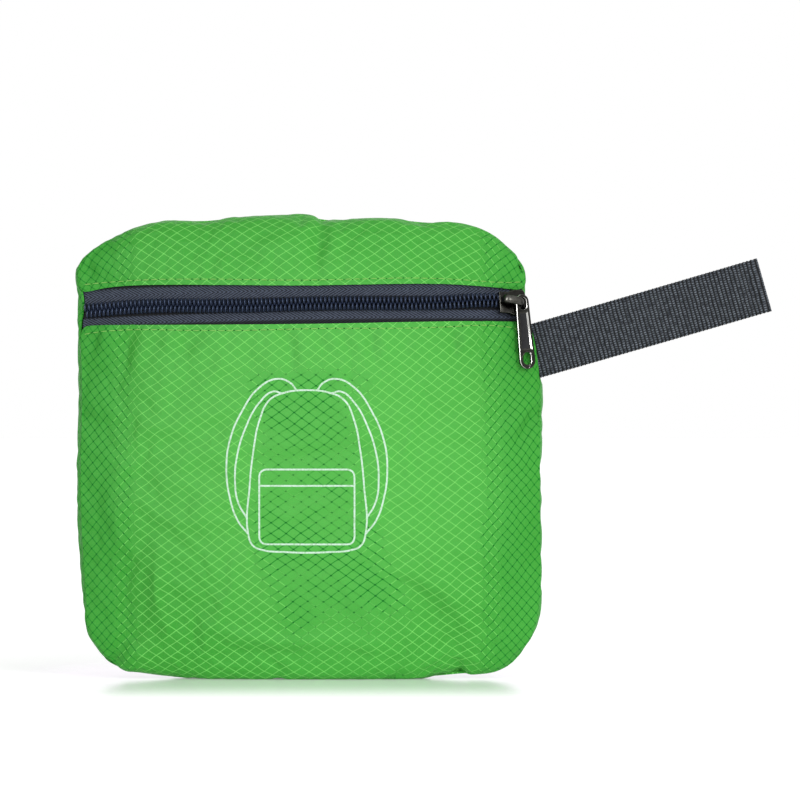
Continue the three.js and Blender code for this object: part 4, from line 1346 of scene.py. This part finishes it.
PRINT_POCKET_HALF = 0.592
PRINT_POCKET_LOW = 0.048
PRINT_POCKET_HIGH = 0.479
PRINT_POCKET_FLAP = 0.385
PRINT_POCKET_ROUND = 2.6 * MM


def print_points(rows, side=1):
    return [(side * row["across"] * PRINT_HALF_WIDTH, row["up"] * PRINT_HEIGHT) for row in rows]


def pocket_points():
    half = PRINT_POCKET_HALF * PRINT_HALF_WIDTH - PRINT_POCKET_ROUND
    low = PRINT_POCKET_LOW * PRINT_HEIGHT + PRINT_POCKET_ROUND
    high = PRINT_POCKET_HIGH * PRINT_HEIGHT - PRINT_POCKET_ROUND
    points = []
    for x, z, start in ((half, low, -90), (half, high, 0), (-half, high, 90), (-half, low, 180)):
        for angle in np.radians(np.linspace(start, start + 90, 5)):
            corner_x = x + PRINT_POCKET_ROUND * math.cos(angle)
            points.append((corner_x, z + PRINT_POCKET_ROUND * math.sin(angle)))
    return points


def short_steps(points, closed):
    """The same straight lines in steps of about a millimetre, so that they can lie on the cloth."""
    ends = points[1:] + points[:1] if closed else points[1:]
    steps = []
    for (x0, z0), (x1, z1) in zip(points, ends):
        count = max(1, round(math.hypot(x1 - x0, z1 - z0) / MM))
        for share in np.arange(count) / count:
            steps.append((x0 + (x1 - x0) * share, z0 + (z1 - z0) * share))
    return steps if closed else steps + [points[-1]]


def printed_line(curve, points, closed, smooth):
    spline = curve.splines.new("BEZIER")
    spline.bezier_points.add(len(points) - 1)
    spline.use_cyclic_u = closed
    handle = "AUTO" if smooth else "VECTOR"
    for knot, (x, z) in zip(spline.bezier_points, points):
        knot.co = (x, z, 0)
        knot.handle_left_type = handle
        knot.handle_right_type = handle


def printed_drawing(cloth):
    """Flat ribbons of ink, drawn as curves and laid on the cloth."""
    nib_curve = bpy.data.curves.new("nib", "CURVE")
    nib_curve.dimensions = "2D"
    stroke = nib_curve.splines.new("POLY")
    stroke.points.add(2)
    for knot, x in zip(stroke.points, (-PRINT_LINE / 2, 0, PRINT_LINE / 2)):
        knot.co = (x, 0, 0, 1)
    nib = bpy.data.objects.new("nib", nib_curve)
    bpy.context.scene.collection.objects.link(nib)
    curve = bpy.data.curves.new("drawing", "CURVE")
    curve.dimensions = "2D"
    curve.fill_mode = "NONE"
    curve.resolution_u = 16
    curve.bevel_mode = "OBJECT"
    curve.bevel_object = nib
    body = print_points(PRINT_BODY)
    body += [(-x, z) for x, z in body[-2:0:-1]]
    printed_line(curve, body, True, True)
    for side in (1, -1):
        printed_line(curve, print_points(PRINT_STRAP_OUTSIDE, side), False, True)
        printed_line(curve, print_points(PRINT_STRAP_INSIDE, side), False, True)
    printed_line(curve, short_steps(pocket_points(), True), True, False)
    flap = PRINT_POCKET_FLAP * PRINT_HEIGHT
    half = PRINT_POCKET_HALF * PRINT_HALF_WIDTH
    printed_line(curve, short_steps([(-half, flap), (half, flap)], False), False, False)
    piece = bpy.data.objects.new("printed_drawing", curve)
    bpy.context.scene.collection.objects.link(piece)
    work_on(piece)
    bpy.ops.object.convert(target="MESH")
    bpy.data.objects.remove(nib)
    piece = bpy.context.active_object
    mesh = piece.data
    tree = tree_of(cloth)
    points = points_of(mesh)
    for index, (x, z, _) in enumerate(points):
        spot, normal = met_from_front(tree, x + PRINT_MIDDLE, z + PRINT_BASE)
        points[index] = spot + normal * PRINT_LIFT
    move_points(mesh, points)
    edit_all(piece)
    bpy.ops.mesh.remove_doubles(threshold=0.01 * MM)
    leave_edit()
    if face_values(mesh, "normal")[:, 1].mean() > 0:
        edit_all(piece)
        bpy.ops.mesh.flip_normals()
        leave_edit()
    thicken(piece, PRINT_FILM)
    bpy.ops.object.shade_smooth_by_angle(angle=math.radians(40))
    return finished(piece, "printed_drawing", white_print())


printed_drawing(front)

for node in TAPES:
    NODES[node].data.materials.clear()
    NODES[node].data.materials.append(TAPE_CLOTH)


# Floor and light


def add_floor():
    bpy.ops.mesh.primitive_plane_add(size=FLOOR_SIDE, location=(0, 0, -FLOOR_GAP))
    floor = bpy.context.active_object
    floor.name = "floor"
    floor.data.materials.append(pale_floor())


def add_sun(name, direction, spread, power):
    data = bpy.data.lights.new(name, "SUN")
    data.angle = math.radians(spread)
    data.energy = power
    lamp = bpy.data.objects.new(name, data)
    lamp.rotation_euler = (-Vector(direction)).to_track_quat("-Z", "Y").to_euler()
    bpy.context.scene.collection.objects.link(lamp)


def add_softbox(place, target, side, power):
    """A square softbox that only shows as a reflection in metal and plastic."""
    data = bpy.data.lights.new("softbox", "AREA")
    data.size = side
    data.energy = power
    lamp = bpy.data.objects.new("softbox", data)
    lamp.location = place
    lamp.rotation_euler = (Vector(target) - Vector(place)).to_track_quat("-Z", "Y").to_euler()
    lamp.visible_diffuse = False
    bpy.context.scene.collection.objects.link(lamp)


def add_world():
    """A white studio tent. The camera sees it plain white. As a light it is brighter in front and to the
    right, and in reflections its back wall is bright too."""
    world = bpy.data.worlds.new("studio")
    world.use_nodes = True
    studio = Nodes(world.node_tree)
    direction = studio.node("ShaderNodeTexCoord", {}, {}, "Generated")
    side = Vector(BRIGHT_SIDE).normalized()
    towards = studio.node("ShaderNodeVectorMath", {"operation": "DOT_PRODUCT"}, [direction, side], "Value")
    light = towards.smooth(-0.5, 1.0, TENT_DIM, TENT_BRIGHT)
    back_wall = studio.node("ShaderNodeSeparateXYZ", {}, [direction], "Y").smooth(0.1, 0.7, 0, BACK_GLOSS)
    mirrored = studio.node("ShaderNodeLightPath", {}, {}, "Is Glossy Ray")
    strength = back_wall * mirrored + light
    backdrop = studio.tree.nodes["Background"]
    backdrop.inputs["Color"].default_value = (1, 1, 1, 1)
    studio.tree.links.new(strength.socket, backdrop.inputs["Strength"])
    tent = Value(studio, backdrop.outputs["Background"])
    white = studio.node("ShaderNodeBackground", {}, {"Strength": 1.0, "Color": (1, 1, 1, 1)})
    seen = studio.node("ShaderNodeLightPath", {}, {}, "Is Camera Ray")
    either = studio.node("ShaderNodeMixShader", {}, [seen, tent, white])
    studio.tree.links.new(either.socket, studio.tree.nodes["World Output"].inputs["Surface"])
    bpy.context.scene.world = world
    bpy.context.scene.view_settings.view_transform = "Standard"


add_floor()
add_world()
add_sun("key", KEY_DIRECTION, KEY_SPREAD, KEY_POWER)
add_softbox(SOFTBOX_PLACE, SOFTBOX_TARGET, SOFTBOX_SIDE, SOFTBOX_POWER)
